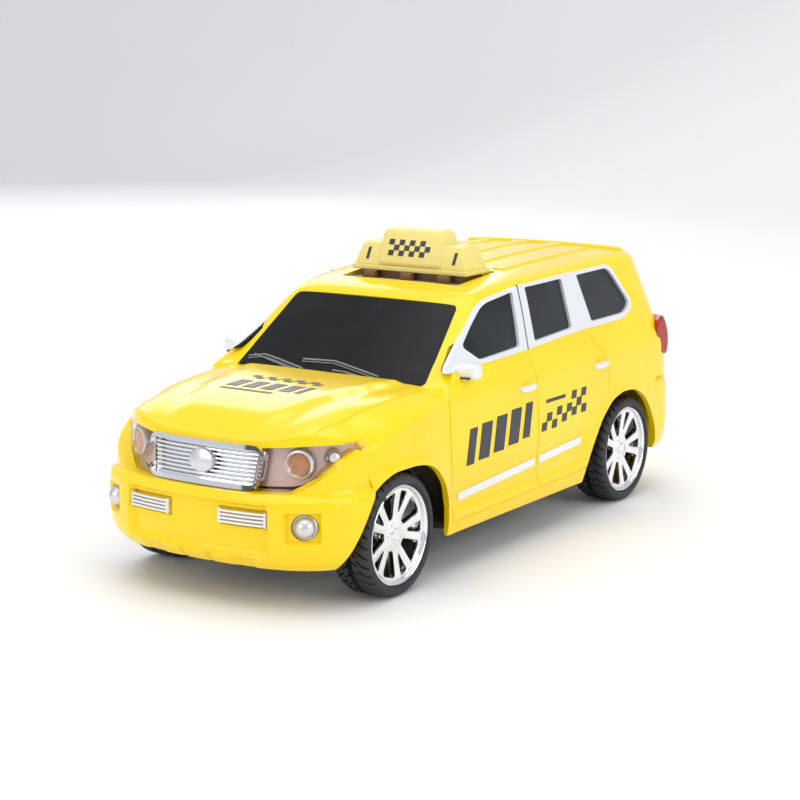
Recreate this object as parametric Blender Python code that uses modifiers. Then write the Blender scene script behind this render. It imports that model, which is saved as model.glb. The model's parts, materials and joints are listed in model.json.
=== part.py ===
"""A friction-drive toy taxi: a moulded off-road estate car with a flywheel motor on its rear axle.

The car faces -Y, its left side is +X and +Z is up. The origin is on the ground, midway between
the axles. Every size below is in millimetres, and MM turns it into Blender's metres.
"""
import math

import bmesh
import bpy
from mathutils import Matrix, Vector

MM = 0.001

# Driving dimensions
WHEELBASE = 150.0
AXLE_HEIGHT = 19.2
TYRE_RADIUS = AXLE_HEIGHT
TYRE_WIDTH = 14.0
TRACK = 81.8                      # between the tyres' middle planes
RIM_RADIUS = 15.6
AXLE_RADIUS = 1.25
WALL = 1.8                        # moulded shell
GAP = 0.3                         # between pieces that touch
FIT = 0.12                        # a pin's clearance in its hole
FRONT_AXLE_Y = -WHEELBASE / 2
REAR_AXLE_Y = WHEELBASE / 2
HALF_LENGTH = 117.5

# Side view of the shell, as (y, z): up the nose, over the roof and down the tailgate
SHELL_SIDE = [
    (-88.6, 13.5), (-88.6, 37.0), (-92.2, 48.6), (-93.4, 52.4), (-107.2, 50.6), (-106.8, 52.2),
    (-101.0, 54.6), (-94.0, 56.6), (-86.0, 58.2), (-76.0, 59.6), (-47.5, 60.2), (-18.0, 83.6),
    (-10.0, 85.9), (0.0, 87.5), (15.0, 88.7), (35.0, 89.7), (60.0, 90.5), (97.0, 91.0),
    (99.6, 90.2), (100.6, 86.6), (107.0, 66.0), (109.0, 58.0), (110.0, 43.2), (96.4, 43.2),
    (95.2, 41.0), (95.2, 15.0), (42.0, 15.0), (-49.0, 13.5)]
# The same view of its inside, open at the bottom
SHELL_INSIDE = [
    (-120.0, 3.0), (-120.0, 48.6), (-107.2, 50.4), (-101.0, 52.7), (-94.0, 54.7), (-85.8, 56.4),
    (-75.9, 57.8), (-46.9, 58.4), (-17.2, 81.9), (-9.6, 84.1), (0.0, 85.7), (15.0, 86.9),
    (35.0, 87.9), (60.0, 88.7), (96.9, 89.2), (98.2, 88.6), (98.9, 86.1), (105.3, 65.6),
    (107.2, 57.8), (108.2, 43.0), (108.2, 3.0)]
# Cross-section of the shell, as (x, z), from the sill up to the middle of the roof
SHELL_SECTION = [
    (47.0, 13.5), (48.1, 20.0), (48.5, 35.0), (48.3, 50.0), (47.8, 57.0), (46.8, 59.6),
    (45.3, 61.6), (44.9, 64.0), (37.9, 88.2), (36.4, 89.6), (33.0, 90.3), (0.0, 91.2)]
# The bonnet's crown, as (x, z), at its front and at the windscreen: it falls away over the wings
CROWN_FRONT = [(30.0, 56.6), (35.6, 55.4), (41.0, 52.8), (44.5, 49.4), (47.2, 43.0), (49.5, 30.0)]
CROWN_BACK = [(30.0, 62.4), (36.6, 61.4), (41.0, 60.6), (44.5, 58.9), (47.2, 56.6), (49.5, 50.0)]
CROWN_Y = (-95.0, -47.0)
# Plan view of the shell, as (x, y), from the nose to the tail
SHELL_PLAN = [
    (0.0, -111.9), (20.0, -110.6), (30.0, -107.0), (38.0, -101.2), (42.6, -96.0), (45.2, -91.0),
    (47.2, -83.0), (48.3, -70.0), (48.5, -60.0), (48.5, 62.0), (48.0, 86.0), (46.4, 97.0), (42.5, 104.0),
    (34.0, 108.2), (18.0, 109.8), (0.0, 110.2)]
SHELL_BOTTOM = 13.5
FRONT_ARCH = [
    (-103.6, 9.0), (-102.0, 14.0), (-94.0, 27.0), (-88.0, 35.0), (-84.0, 38.0), (-79.0, 39.8),
    (-68.0, 40.0), (-61.0, 38.8), (-56.0, 36.0), (-52.0, 31.0), (-50.0, 26.0), (-49.0, 13.0),
    (-49.0, 9.0)]
REAR_ARCH = [
    (40.0, 9.0), (41.0, 16.0), (46.0, 25.0), (53.0, 34.5), (61.0, 40.2), (69.0, 42.0),
    (78.0, 41.5), (85.0, 38.5), (90.0, 33.8), (94.0, 28.0), (97.0, 22.0), (99.5, 14.0), (99.5, 9.0)]

# Bumpers: plan of the outer face as (x, y), and side view as (y, z)
BUMPER_WALL = 2.0
FRONT_BUMPER_PLAN = [
    (0.0, -117.5), (20.0, -116.3), (30.0, -113.8), (37.0, -110.2), (42.4, -105.4),
    (45.8, -99.6), (47.6, -92.6), (48.4, -84.0)]
FRONT_BUMPER_SIDE = [
    (-112.5, 14.0), (-116.8, 18.0), (-117.5, 24.0), (-117.5, 34.0), (-116.0, 36.2),
    (-106.0, 36.6), (-93.6, 48.6), (-92.5, 48.4), (-88.9, 36.6), (-94.3, 26.6), (-102.3, 14.0)]
REAR_BUMPER_PLAN = [
    (0.0, 117.5), (20.0, 116.6), (32.0, 113.8), (40.0, 108.6), (44.6, 102.6), (47.0, 97.0),
    (48.0, 90.0)]
REAR_BUMPER_SIDE = [
    (113.0, 15.0), (117.0, 20.0), (117.5, 28.0), (117.0, 40.0), (114.5, 42.8),
    (96.8, 42.8), (95.6, 41.0), (95.6, 25.6), (97.3, 22.0), (99.8, 15.0)]

# Glass: the side windows lean inwards, the windscreen and the rear glass lie on their own planes
SIDE_LEAN = math.atan2(44.9 - 37.9, 88.2 - 64.0)
SIDE_BASE = (44.9, 0.0, 64.0)
TRIM_OUTLINE = [
    (-45.6, 64.6), (2.3, 65.6), (41.2, 67.0), (78.4, 67.6), (86.8, 71.2), (75.6, 86.8),
    (39.0, 86.4), (7.3, 85.4), (-20.0, 83.0), (-37.0, 72.6)]
WINDOWS = [
    [(-36.1, 71.6), (-22.4, 66.2), (3.0, 66.8), (4.3, 84.2), (-17.4, 82.0)],
    [(13.0, 67.4), (39.3, 68.6), (38.8, 85.2), (13.4, 84.8)],
    [(53.8, 69.0), (78.6, 69.6), (84.6, 71.8), (74.2, 85.8), (49.6, 85.4)]]
TRIM_THICKNESS = 1.3
GLASS_THICKNESS = 1.0
SCREEN_FOOT = (0.0, -47.5, 60.2)
SCREEN_TOP = (0.0, -18.0, 83.6)
SCREEN_HALF = [(37.6, 1.6), (38.2, 3.4), (32.6, 33.6), (30.6, 35.6)]
REAR_GLASS_FOOT = (0.0, 107.0, 66.0)
REAR_GLASS_TOP = (0.0, 100.6, 86.6)
REAR_GLASS_HALF = [(36.0, 1.5), (37.0, 3.0), (33.0, 18.0), (31.5, 19.4)]

# Front lamps and grille, as (x, z) seen from the front
LAMP_OUTLINE = [
    (22.0, 49.9), (20.9, 37.0), (30.0, 37.3), (38.0, 42.6), (44.8, 49.2), (43.6, 51.2),
    (33.0, 51.0)]
LAMP_BACK_Y = -91.5
LAMP_CUP = (30.5, 44.5)
GRILLE_HALF = [(20.2, 37.0), (21.5, 49.8)]
GRILLE_BARS = 9
BADGE_HALF = (4.6, 3.3)
FOG_PLACE = (36.6, -108.2, 27.2)

# Roof sign
SIGN_FRONT_Y = 0.5
SIGN_DEPTH = 16.5
SIGN_BOTTOM = 88.9
SIGN_TOP = 103.2
WING_TOP = 98.2
SIGN_HALF = 12.7
WING_HALF = 23.2
RECESS_HALF = 24.0
RECESS_Y = (-5.2, 20.0)
RECESS_FLOOR = 86.4

# Chassis and its axles
FLOOR_BOTTOM = 15.4
FLOOR_TOP = 17.4
WELL_WALL_X = 30.6
LINER_RADIUS = 22.2
LINER_WALL = 1.2
LINER_OUTER_X = 41.4
SCREW_PLACES = {"front_left": (23.0, -101.0), "front_right": (-23.0, -101.0),
                "rear_left": (23.0, 101.0), "rear_right": (-23.0, 101.0)}

# Friction motor: three steps of WHEEL_TEETH driving PINION_TEETH
GEAR_MODULE = 0.6
WHEEL_TEETH = 26
PINION_TEETH = 8
CENTRES = GEAR_MODULE * (WHEEL_TEETH + PINION_TEETH) / 2
STEP_ANGLES = [math.radians(angle) for angle in (120.0, 160.0, 200.0)]
GEAR_WIDTH = 3.0
GEAR_PLANES = [5.4, 1.6, -2.2]    # inner faces of the three steps, along X
PIN_RADIUS = 0.8
BOSS_RADIUS = 1.7
HOUSING_WALL = 1.3
HOUSING_LOW_X = -4.9
HOUSING_HIGH_X = 9.1
COVER_THICKNESS = 1.4
FLYWHEEL_RADIUS = 10.0
FLYWHEEL_X = (-12.4, -6.2)
FOOT_Z = (17.7, 19.4)
MOTOR_SCREWS = {"front": (2.0, 50.4), "rear": (2.0, 90.5)}

TURN_STEPS = 24
ROD_SIDES = 12

ALONG_X = Matrix(((0, 0, 1), (1, 0, 0), (0, 1, 0))).to_4x4()      # outlines as (y, z)
ALONG_FRONT = Matrix(((1, 0, 0), (0, 0, -1), (0, 1, 0))).to_4x4()  # outlines as (x, z)
ALONG_Z = Matrix.Identity(4)                                        # outlines as (x, y)

MATERIALS = {}
PARTS = None
CUTTERS = None


def clear_scene():
    for item in list(bpy.data.objects):
        bpy.data.objects.remove(item, do_unlink=True)


def new_collection(name):
    collection = bpy.data.collections.new(name)
    bpy.context.scene.collection.children.link(collection)
    return collection


def finish(name, colour, roughness, metallic=0.0):
    """Adds a material under its slot's name."""
    material = bpy.data.materials.new(name)
    material.use_nodes = True
    shader = material.node_tree.nodes["Principled BSDF"]
    shader.inputs["Base Color"].default_value = (*colour, 1.0)
    shader.inputs["Roughness"].default_value = roughness
    shader.inputs["Metallic"].default_value = metallic
    MATERIALS[name] = material


def make_materials():
    finish("yellow_gloss", (0.95, 0.62, 0.01), 0.18)
    finish("cream_plastic", (0.90, 0.72, 0.30), 0.30)
    finish("black_glass", (0.01, 0.01, 0.012), 0.08)
    finish("clear_lens", (0.80, 0.72, 0.70), 0.08)
    finish("red_lens", (0.60, 0.01, 0.01), 0.12)
    finish("chrome", (0.80, 0.80, 0.82), 0.08, 1.0)
    finish("silver_trim", (0.72, 0.72, 0.74), 0.22, 0.8)
    finish("lamp_silver", (0.60, 0.55, 0.53), 0.25, 0.7)
    finish("grey_insert", (0.25, 0.22, 0.18), 0.45)
    finish("black_chassis", (0.02, 0.02, 0.02), 0.45)
    finish("tyre_rubber", (0.015, 0.016, 0.018), 0.65)
    finish("white_gear", (0.82, 0.82, 0.78), 0.40)
    finish("steel", (0.55, 0.55, 0.56), 0.30, 1.0)
    finish("zinc", (0.38, 0.38, 0.40), 0.40, 1.0)


def add_object(name, mesh, slot):
    """Links a mesh as a part with a material, or as a cutter when it has none."""
    item = bpy.data.objects.new(name, mesh)
    if slot is None:
        CUTTERS.objects.link(item)
        item.hide_render = True
        item.display_type = "WIRE"
    else:
        PARTS.objects.link(item)
        mesh.materials.clear()
        mesh.materials.append(MATERIALS[slot])
    return item


def evaluated_mesh(item):
    graph = bpy.context.evaluated_depsgraph_get()
    return bpy.data.meshes.new_from_object(item.evaluated_get(graph))


def at(x, y, z, frame=ALONG_Z):
    """The frame moved to a place given in millimetres."""
    return Matrix.Translation(Vector((x, y, z)) * MM) @ frame


def prism(name, outlines, depth, matrix, slot=None):
    """A plate whose first outline is its edge and whose others are holes."""
    curve = bpy.data.curves.new(name, "CURVE")
    curve.dimensions = "2D"
    curve.fill_mode = "BOTH"
    curve.extrude = depth / 2 * MM
    for outline in outlines:
        spline = curve.splines.new("POLY")
        spline.points.add(len(outline) - 1)
        for point, (across, up) in zip(spline.points, outline):
            point.co = (across * MM, up * MM, 0.0, 1.0)
        spline.use_cyclic_u = True
    guide = bpy.data.objects.new(name + "_outline", curve)
    CUTTERS.objects.link(guide)
    guide.matrix_world = matrix @ Matrix.Translation((0.0, 0.0, depth / 2 * MM))
    bpy.context.view_layer.update()
    mesh = evaluated_mesh(guide)
    weld(mesh)
    item = add_object(name, mesh, slot)
    item.matrix_world = guide.matrix_world
    bpy.data.objects.remove(guide)
    bpy.data.curves.remove(curve)
    return item


def weld(mesh):
    work = bmesh.new()
    work.from_mesh(mesh)
    bmesh.ops.remove_doubles(work, verts=work.verts, dist=0.00001)
    bmesh.ops.recalc_face_normals(work, faces=work.faces)
    work.to_mesh(mesh)
    work.free()


def box(name, low, high, slot=None):
    centre = (Vector(low) + Vector(high)) / 2 * MM
    work = bmesh.new()
    bmesh.ops.create_cube(work, size=1.0)
    size = (Vector(high) - Vector(low)) * MM
    bmesh.ops.scale(work, vec=size, verts=work.verts)
    mesh = bpy.data.meshes.new(name)
    work.to_mesh(mesh)
    work.free()
    item = add_object(name, mesh, slot)
    item.location = centre
    return item


def rod(name, centre, radius, length, axis="X", slot=None, sides=ROD_SIDES, tip_radius=None):
    """A round bar, or a cone with a tip radius, centred on a place."""
    work = bmesh.new()
    bmesh.ops.create_cone(work, cap_ends=True, segments=sides, radius1=radius * MM,
                          radius2=(radius if tip_radius is None else tip_radius) * MM,
                          depth=length * MM)
    mesh = bpy.data.meshes.new(name)
    work.to_mesh(mesh)
    work.free()
    mesh.shade_smooth()
    mesh.set_sharp_from_angle(angle=math.radians(40))
    item = add_object(name, mesh, slot)
    turn = {"X": Matrix.Rotation(math.pi / 2, 4, "Y"), "-Y": Matrix.Rotation(math.pi / 2, 4, "X"),
            "Z": Matrix.Identity(4)}[axis]
    item.matrix_world = at(*centre, turn)
    return item


def turned(name, profile, centre, slot=None, steps=TURN_STEPS):
    """A ring turned about an X axis; the profile is (radius, x) down its outer side and back."""
    mesh = bpy.data.meshes.new(name)
    corners = [(radius * MM, 0.0, along * MM) for radius, along in profile]
    edges = [(i, (i + 1) % len(corners)) for i in range(len(corners))]
    mesh.from_pydata(corners, edges, [])
    item = add_object(name, mesh, slot)
    item.matrix_world = at(*centre, Matrix.Rotation(math.pi / 2, 4, "Y"))
    screw = item.modifiers.new("Turn", "SCREW")
    screw.axis = "Z"
    screw.angle = 2 * math.pi
    screw.steps = steps
    screw.render_steps = steps
    screw.use_merge_vertices = True
    screw.merge_threshold = 0.00001
    return item


def boolean(item, tool, operation="DIFFERENCE"):
    modifier = item.modifiers.new(operation.title(), "BOOLEAN")
    modifier.operation = operation
    modifier.solver = "EXACT"
    modifier.object = tool
    return item


def mirrored(item, name):
    """The opposite-hand copy of a piece, as its own object."""
    mesh = evaluated_mesh(item)
    mesh.transform(Matrix.Diagonal((-1, 1, 1, 1)) @ item.matrix_world)
    mesh.flip_normals()
    return add_object(name, mesh, item.active_material.name)


def pair(item, stem):
    """Names a piece on the car's left and makes its copy on the right."""
    bpy.context.view_layer.update()
    item.name = stem + "_left"
    mirrored(item, stem + "_right")


def both_halves(half):
    """A closed outline from its right half, mirrored on the first coordinate."""
    return half + [(-across, along) for across, along in reversed(half) if across > 0]


def inset(outline, distance):
    """An outline moved inwards by a distance, with mitred corners."""
    count = len(outline)
    area = sum(outline[i - 1][0] * outline[i][1] - outline[i][0] * outline[i - 1][1]
               for i in range(count))
    side = distance if area > 0 else -distance
    moved = []
    for i in range(count):
        here = Vector(outline[i])
        arriving = (here - Vector(outline[i - 1])).normalized()
        leaving = (Vector(outline[(i + 1) % count]) - here).normalized()
        first = Vector((-arriving.y, arriving.x))
        second = Vector((-leaving.y, leaving.x))
        mitre = (first + second).normalized()
        moved.append(tuple(here + mitre * side / max(mitre.dot(first), 0.4)))
    return moved


def circle(centre, radius, count):
    steps = [2 * math.pi * i / count for i in range(count)]
    return [(centre[0] + radius * math.cos(a), centre[1] + radius * math.sin(a)) for a in steps]


def hull(points):
    """The convex outline round a set of points."""
    ordered = sorted(set(points))

    def chain(run):
        kept = []
        for point in run:
            while len(kept) > 1 and ((kept[-1][0] - kept[-2][0]) * (point[1] - kept[-2][1])
                                     - (kept[-1][1] - kept[-2][1]) * (point[0] - kept[-2][0])) <= 0:
                kept.pop()
            kept.append(point)
        return kept[:-1]
    return chain(ordered) + chain(ordered[::-1])


def plan_column(name, half, depth_in, low=0.0, high=120.0):
    """A tall block with a plan outline, moved inwards by a distance."""
    return prism(name, [inset(both_halves(half), depth_in)], high - low, at(0, 0, low))


def closed_bumper_plan(half, back):
    """A bumper's plan outline, closed across the car behind it."""
    return both_halves(half + [(half[-1][0], back)])


# ---- body ----------------------------------------------------------------------------------

def shell_block(name, depth_in, slot=None):
    """The body's outer form, or its inside when moved inwards, from its three outlines."""
    side = SHELL_INSIDE if depth_in else SHELL_SIDE
    section = inset(both_halves(SHELL_SECTION + [(0.0, SHELL_SECTION[-1][1])]), depth_in)
    if depth_in:
        section = [(x, z - 12.0 if z < SHELL_BOTTOM + 4.0 else z) for x, z in section]
    block = prism(name, [side], 120.0, at(-60, 0, 0, ALONG_X), slot)
    boolean(block, prism(name + "_section", [section], 260.0, at(0, 130, 0, ALONG_FRONT)),
            "INTERSECT")
    boolean(block, plan_column(name + "_plan", SHELL_PLAN, depth_in), "INTERSECT")
    boolean(block, crown_cutter(name + "_crown", depth_in))
    return block


def crown_cutter(name, depth_in):
    """Everything above the bonnet's crown: a prism whose front end is lowered to its own outline."""
    front_y, back_y = CROWN_Y
    nose_y = -125.0
    run = (nose_y - back_y) / (front_y - back_y)
    outline = [(60.0, 80.0), (60.0, 48.0)] + CROWN_BACK[::-1] + [(0.0, 63.0)]
    cutter = prism(name, [both_halves(outline)], back_y - nose_y, at(0, back_y, 0, ALONG_FRONT))
    drops = {x: (back - front) * run for (x, front), (x, back) in zip(CROWN_FRONT, CROWN_BACK)}
    for vertex in cutter.data.vertices:
        drop = drops.get(round(abs(vertex.co.x) / MM, 1), 0.0)
        if vertex.co.z > 0:
            vertex.co.y -= drop * MM
        vertex.co.y -= depth_in * MM
    return cutter


def side_frame():
    """The plane of the left windows: y along the car, then up the leaning side."""
    lean = Matrix.Rotation(-SIDE_LEAN, 4, "Y")
    return at(*SIDE_BASE, lean @ ALONG_X)


def on_side(outline):
    """An outline given as (y, z), laid on the leaning side."""
    return [(y, (z - SIDE_BASE[2]) / math.cos(SIDE_LEAN)) for y, z in outline]


def slope_frame(foot, top):
    """A plane across the car that rises from its foot to its top, facing outwards."""
    rise = (Vector(top) - Vector(foot)).normalized()
    across = Vector((math.copysign(1.0, rise.y), 0, 0))
    turn = Matrix((across, rise, across.cross(rise))).transposed().to_4x4()
    return at(*foot, turn)


def lamp_cutters(piece):
    """Opens a piece for both headlights, a little larger than the lenses."""
    outline = inset(LAMP_OUTLINE, -GAP)
    opposite = [(-x, z) for x, z in outline]
    for name, edge in (("lamp_cut_left", outline), ("lamp_cut_right", opposite)):
        boolean(piece, prism(name, [edge], 40.0, at(0, LAMP_BACK_Y + GAP, 0, ALONG_FRONT)))


def make_body():
    shell = shell_block("body_shell", 0.0, "yellow_gloss")
    boolean(shell, shell_block("shell_inside", WALL))
    boolean(shell, prism("front_arch_cut", [FRONT_ARCH], 120.0, at(-60, 0, 0, ALONG_X)))
    boolean(shell, prism("rear_arch_cut", [REAR_ARCH], 120.0, at(-60, 0, 0, ALONG_X)))
    window_cut = prism("window_cut_left", [inset(on_side(TRIM_OUTLINE), -GAP)], 12.0,
                       side_frame() @ Matrix.Translation((0, 0, -0.008)))
    bpy.context.view_layer.update()
    opposite = evaluated_mesh(window_cut)
    opposite.transform(Matrix.Diagonal((-1, 1, 1, 1)) @ window_cut.matrix_world)
    opposite.flip_normals()
    boolean(shell, window_cut)
    boolean(shell, add_object("window_cut_right", opposite, None))
    screen = inset(both_halves(SCREEN_HALF), -GAP)
    screen_frame = slope_frame(SCREEN_FOOT, SCREEN_TOP)
    boolean(shell, prism("screen_cut", [screen], 12.0,
                         screen_frame @ Matrix.Translation((0, 0, -0.006))))
    rear = inset(both_halves(REAR_GLASS_HALF), -GAP)
    rear_frame = slope_frame(REAR_GLASS_FOOT, REAR_GLASS_TOP)
    boolean(shell, prism("rear_glass_cut", [rear], 12.0,
                         rear_frame @ Matrix.Translation((0, 0, -0.006))))
    lamp_cutters(shell)
    grille_cut = inset(both_halves(GRILLE_HALF), -GAP)
    boolean(shell, prism("grille_cut", [grille_cut], 30.0, at(0, -100.0, 0, ALONG_FRONT)))
    boolean(shell, box("sign_recess_cut", (-RECESS_HALF, RECESS_Y[0], 80.0),
                       (RECESS_HALF, RECESS_Y[1], 95.0)))
    for name, low_x, high_x in (("left", 38.4, 60.0), ("right", -60.0, -38.4)):
        boolean(shell, box("tail_lamp_cut_" + name, (low_x, 98.0, 49.7), (high_x, 120.0, 66.3)))


def make_bumper(name, plan_half, side, inner_y, wheel_side):
    """A hollow bumper that wraps round the corners to the wheel arch."""
    bumper = prism(name, [side], 120.0, at(-60, 0, 0, ALONG_X), "yellow_gloss")
    outer = both_halves(plan_half + [(plan_half[-1][0], wheel_side)])
    boolean(bumper, prism(name + "_plan", [outer], 80.0, at(0, 0, 0)), "INTERSECT")
    hollow = [(x - BUMPER_WALL if x else 0.0, y + inner_y) for x, y in plan_half]
    hollow = both_halves(hollow + [(hollow[-1][0], wheel_side + 20 * math.copysign(1, inner_y))])
    boolean(bumper, prism(name + "_inside", [hollow], 80.0, at(0, 0, 0)))
    return bumper


def make_bumpers():
    front = make_bumper("front_bumper", FRONT_BUMPER_PLAN, FRONT_BUMPER_SIDE, 2.4, -70.0)
    rear = make_bumper("rear_bumper", REAR_BUMPER_PLAN, REAR_BUMPER_SIDE, -2.4, 70.0)
    lamp_cutters(front)
    for side in (-1, 1):
        x = side * FOG_PLACE[0]
        boolean(front, rod("fog_hole", (x, FOG_PLACE[1] - 1, FOG_PLACE[2]), 4.1, 14.0, "-Y"))
        low, high = sorted((side * 9.6, side * 26.4))
        boolean(front, box("vent_hole", (low, -120.0, 26.5), (high, -108.0, 31.3)))
    return front, rear


# ---- glass and trim ------------------------------------------------------------------------

def make_glass():
    frame = side_frame()
    trim = prism("window_trim", [on_side(TRIM_OUTLINE)] + [on_side(w) for w in WINDOWS],
                 TRIM_THICKNESS, frame @ Matrix.Translation((0, 0, -0.001)), "silver_trim")
    pair(trim, "window_trim")
    behind = (-1.0 - GAP - GLASS_THICKNESS) * MM
    glass = prism("side_glass", [inset(on_side(TRIM_OUTLINE), 0.8)], GLASS_THICKNESS,
                  frame @ Matrix.Translation((0, 0, behind)), "black_glass")
    pair(glass, "side_glass")
    prism("windscreen", [both_halves(SCREEN_HALF)], 1.6,
          slope_frame(SCREEN_FOOT, SCREEN_TOP) @ Matrix.Translation((0, 0, -0.0014)),
          "black_glass")
    prism("rear_glass", [both_halves(REAR_GLASS_HALF)], 1.6,
          slope_frame(REAR_GLASS_FOOT, REAR_GLASS_TOP) @ Matrix.Translation((0, 0, -0.0014)),
          "black_glass")


def make_strips_and_handles():
    strip = [(-43.0, 23.8), (-43.0, 26.2), (38.0, 30.3), (38.0, 27.9)]
    pair(prism("side_strip", [strip], 1.0, at(48.8, 0, 0, ALONG_X), "silver_trim"), "side_strip")
    for name, y, z in (("front_door_handle", 0.0, 53.4), ("rear_door_handle", 52.0, 53.9)):
        handle = [(y - 4.6, z - 0.9), (y - 3.8, z + 0.9), (y + 4.2, z + 0.9), (y + 4.6, z - 0.9)]
        pair(prism(name, [handle], 1.4, at(48.6, 0, 0, ALONG_X), "silver_trim"), name)
    mirror_front = [(45.9, 61.6), (45.5, 64.4), (46.0, 66.4), (49.8, 66.9), (50.8, 65.6),
                    (50.6, 62.4), (48.2, 61.0)]
    mirror = prism("mirror", [mirror_front], 5.6, at(0, -33.0, 0, ALONG_FRONT), "silver_trim")
    pair(mirror, "mirror")


# ---- lamps and grille ----------------------------------------------------------------------

def front_band(item, outer, inner):
    """Keeps only what lies between two distances inside the shell's plan."""
    boolean(item, plan_column(item.name + "_outer", SHELL_PLAN, outer), "INTERSECT")
    if inner is not None:
        boolean(item, plan_column(item.name + "_inner", SHELL_PLAN, inner))


def make_front_lamps():
    lens = prism("headlight_lens", [LAMP_OUTLINE], 35.0, at(0, LAMP_BACK_Y, 0, ALONG_FRONT),
                 "clear_lens")
    front_band(lens, 0.0, 1.4)
    pair(lens, "headlight_lens")
    reflector = prism("headlight_reflector", [inset(LAMP_OUTLINE, 1.6)], 30.0,
                      at(0, -96.0, 0, ALONG_FRONT), "lamp_silver")
    front_band(reflector, 1.8, None)
    boolean(reflector, rod("lamp_cup_cut", (LAMP_CUP[0], -106.0, LAMP_CUP[1]), 3.2, 7.0, "-Y"))
    pair(reflector, "headlight_reflector")
    low, high = GRILLE_HALF[0][1], GRILLE_HALF[1][1]
    slots = []
    pitch = (high - low - 1.6) / (GRILLE_BARS - 1)
    for i in range(GRILLE_BARS - 1):
        z = low + 1.1 + pitch * i
        half = GRILLE_HALF[0][0] - 1.0 + 1.2 * i / GRILLE_BARS
        slots.append([(-half, z), (half, z), (half, z + pitch * 0.5), (-half, z + pitch * 0.5)])
    grille = prism("grille", [both_halves(GRILLE_HALF)] + slots, 20.0,
                   at(0, -100.0, 0, ALONG_FRONT), "chrome")
    front_band(grille, 0.2, 2.2)
    badge = rod("grille_badge", (0.0, -112.7, 43.7), BADGE_HALF[1], 1.2, "-Y", "chrome", 20)
    badge.scale = (BADGE_HALF[0] / BADGE_HALF[1], 1.0, 1.0)
    vent_slots = []
    for i in range(3):
        z = 27.6 + i * 0.95
        vent_slots.append([(11.0, z), (25.0, z), (25.0, z + 0.5), (11.0, z + 0.5)])
    vent = prism("bumper_vent", [[(10.0, 26.9), (26.0, 26.9), (26.0, 30.9), (10.0, 30.9)]]
                 + vent_slots, 15.0, at(0, -105.0, 0, ALONG_FRONT), "silver_trim")
    plan = both_halves(FRONT_BUMPER_PLAN + [(48.3, -70.0)])
    boolean(vent, prism("vent_outer", [inset(plan, 0.5)], 80.0, at(0, 0, 0)), "INTERSECT")
    boolean(vent, prism("vent_inner", [inset(plan, 2.4)], 80.0, at(0, 0, 0)))
    pair(vent, "bumper_vent")
    lamp = rod("fog_lamp", FOG_PLACE, 3.7, 4.6, "-Y", "lamp_silver",
               sides=18, tip_radius=2.2)
    pair(lamp, "fog_lamp")
    tail = box("tail_lamp", (38.7, 98.4, 50.0), (47.4, 110.6, 66.0), "red_lens")
    wrap = [(38.0, 111.0), (45.4, 106.4), (47.6, 98.0), (38.0, 98.0)]
    boolean(tail, prism("tail_lamp_plan", [wrap], 80.0, at(0, 0, 0)), "INTERSECT")
    pair(tail, "tail_lamp")


# ---- roof sign -----------------------------------------------------------------------------

def make_sign():
    back = SIGN_FRONT_Y + SIGN_DEPTH
    base = box("sign_base", (-RECESS_HALF + GAP, RECESS_Y[0] + GAP, 84.9),
               (RECESS_HALF - GAP, RECESS_Y[1] - GAP, RECESS_FLOOR), "grey_insert")
    boolean(base, box("sign_socket", (-20.0, SIGN_FRONT_Y + 1, 80.0), (20.0, back - 1, 90.0)))
    front = [(-WING_HALF, SIGN_BOTTOM), (-WING_HALF, SIGN_BOTTOM + 2.2), (-20.4, WING_TOP),
             (-SIGN_HALF, WING_TOP), (-SIGN_HALF + 0.3, 100.0), (-10.6, 102.6), (-8.4, SIGN_TOP)]
    outline = front + [(-x, z) for x, z in reversed(front)]
    sign = prism("roof_sign", [outline], 24.0, at(0, 21.0, 0, ALONG_FRONT), "cream_plastic")
    depth_outline = [(SIGN_FRONT_Y, 80.0), (SIGN_FRONT_Y, 90.4), (3.6, SIGN_TOP + 1),
                     (12.6, SIGN_TOP + 1), (back, 90.4), (back, 80.0)]
    boolean(sign, prism("sign_depth", [depth_outline], 60.0, at(-30, 0, 0, ALONG_X)), "INTERSECT")
    plug = box("sign_plug", (-19.6, SIGN_FRONT_Y + 1.4, 85.3), (19.6, back - 1.4, 90.0))
    boolean(sign, plug, "UNION")
    boolean(sign, box("sign_hollow", (-11.0, SIGN_FRONT_Y + 3.4, 80.0), (11.0, back - 4.4, 100.5)))


# ---- wheels --------------------------------------------------------------------------------

def spoke_holes():
    """Five wide openings between the spoke pairs and five narrow ones inside each pair."""
    holes = []
    for i in range(5):
        middle = math.radians(90 + 72 * i)
        for centre, inner, outer, inner_half, outer_half in (
                (middle + math.radians(36), 5.2, 13.6, 16.0, 12.5), (middle, 8.2, 13.6, 4.5, 9.0)):
            corners = []
            for radius, half in ((inner, -inner_half), (outer, -outer_half), (outer, outer_half),
                                 (inner, inner_half)):
                angle = centre + math.radians(half)
                corners.append((radius * math.cos(angle), radius * math.sin(angle)))
            holes.append(corners)
    return holes


def make_wheels():
    middle = TRACK / 2
    inner_x = middle - TYRE_WIDTH / 2
    outer_x = middle + TYRE_WIDTH / 2
    for place, y in (("front", FRONT_AXLE_Y), ("rear", REAR_AXLE_Y)):
        for hand, side in (("left", 1), ("right", -1)):
            half = TYRE_WIDTH / 2
            profile = [(RIM_RADIUS + GAP, half - 0.6), (RIM_RADIUS + 1.6, half),
                       (TYRE_RADIUS - 1.4, half - 0.3), (TYRE_RADIUS, half - 2.0),
                       (TYRE_RADIUS, -half + 2.0), (TYRE_RADIUS - 1.4, -half + 0.3),
                       (RIM_RADIUS + 1.6, -half), (RIM_RADIUS + GAP, -half + 0.6)]
            turned(f"tyre_{place}_{hand}", profile, (side * middle, y, AXLE_HEIGHT), "tyre_rubber")
            make_hub(f"hub_{place}_{hand}", side, y, inner_x, outer_x)


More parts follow.
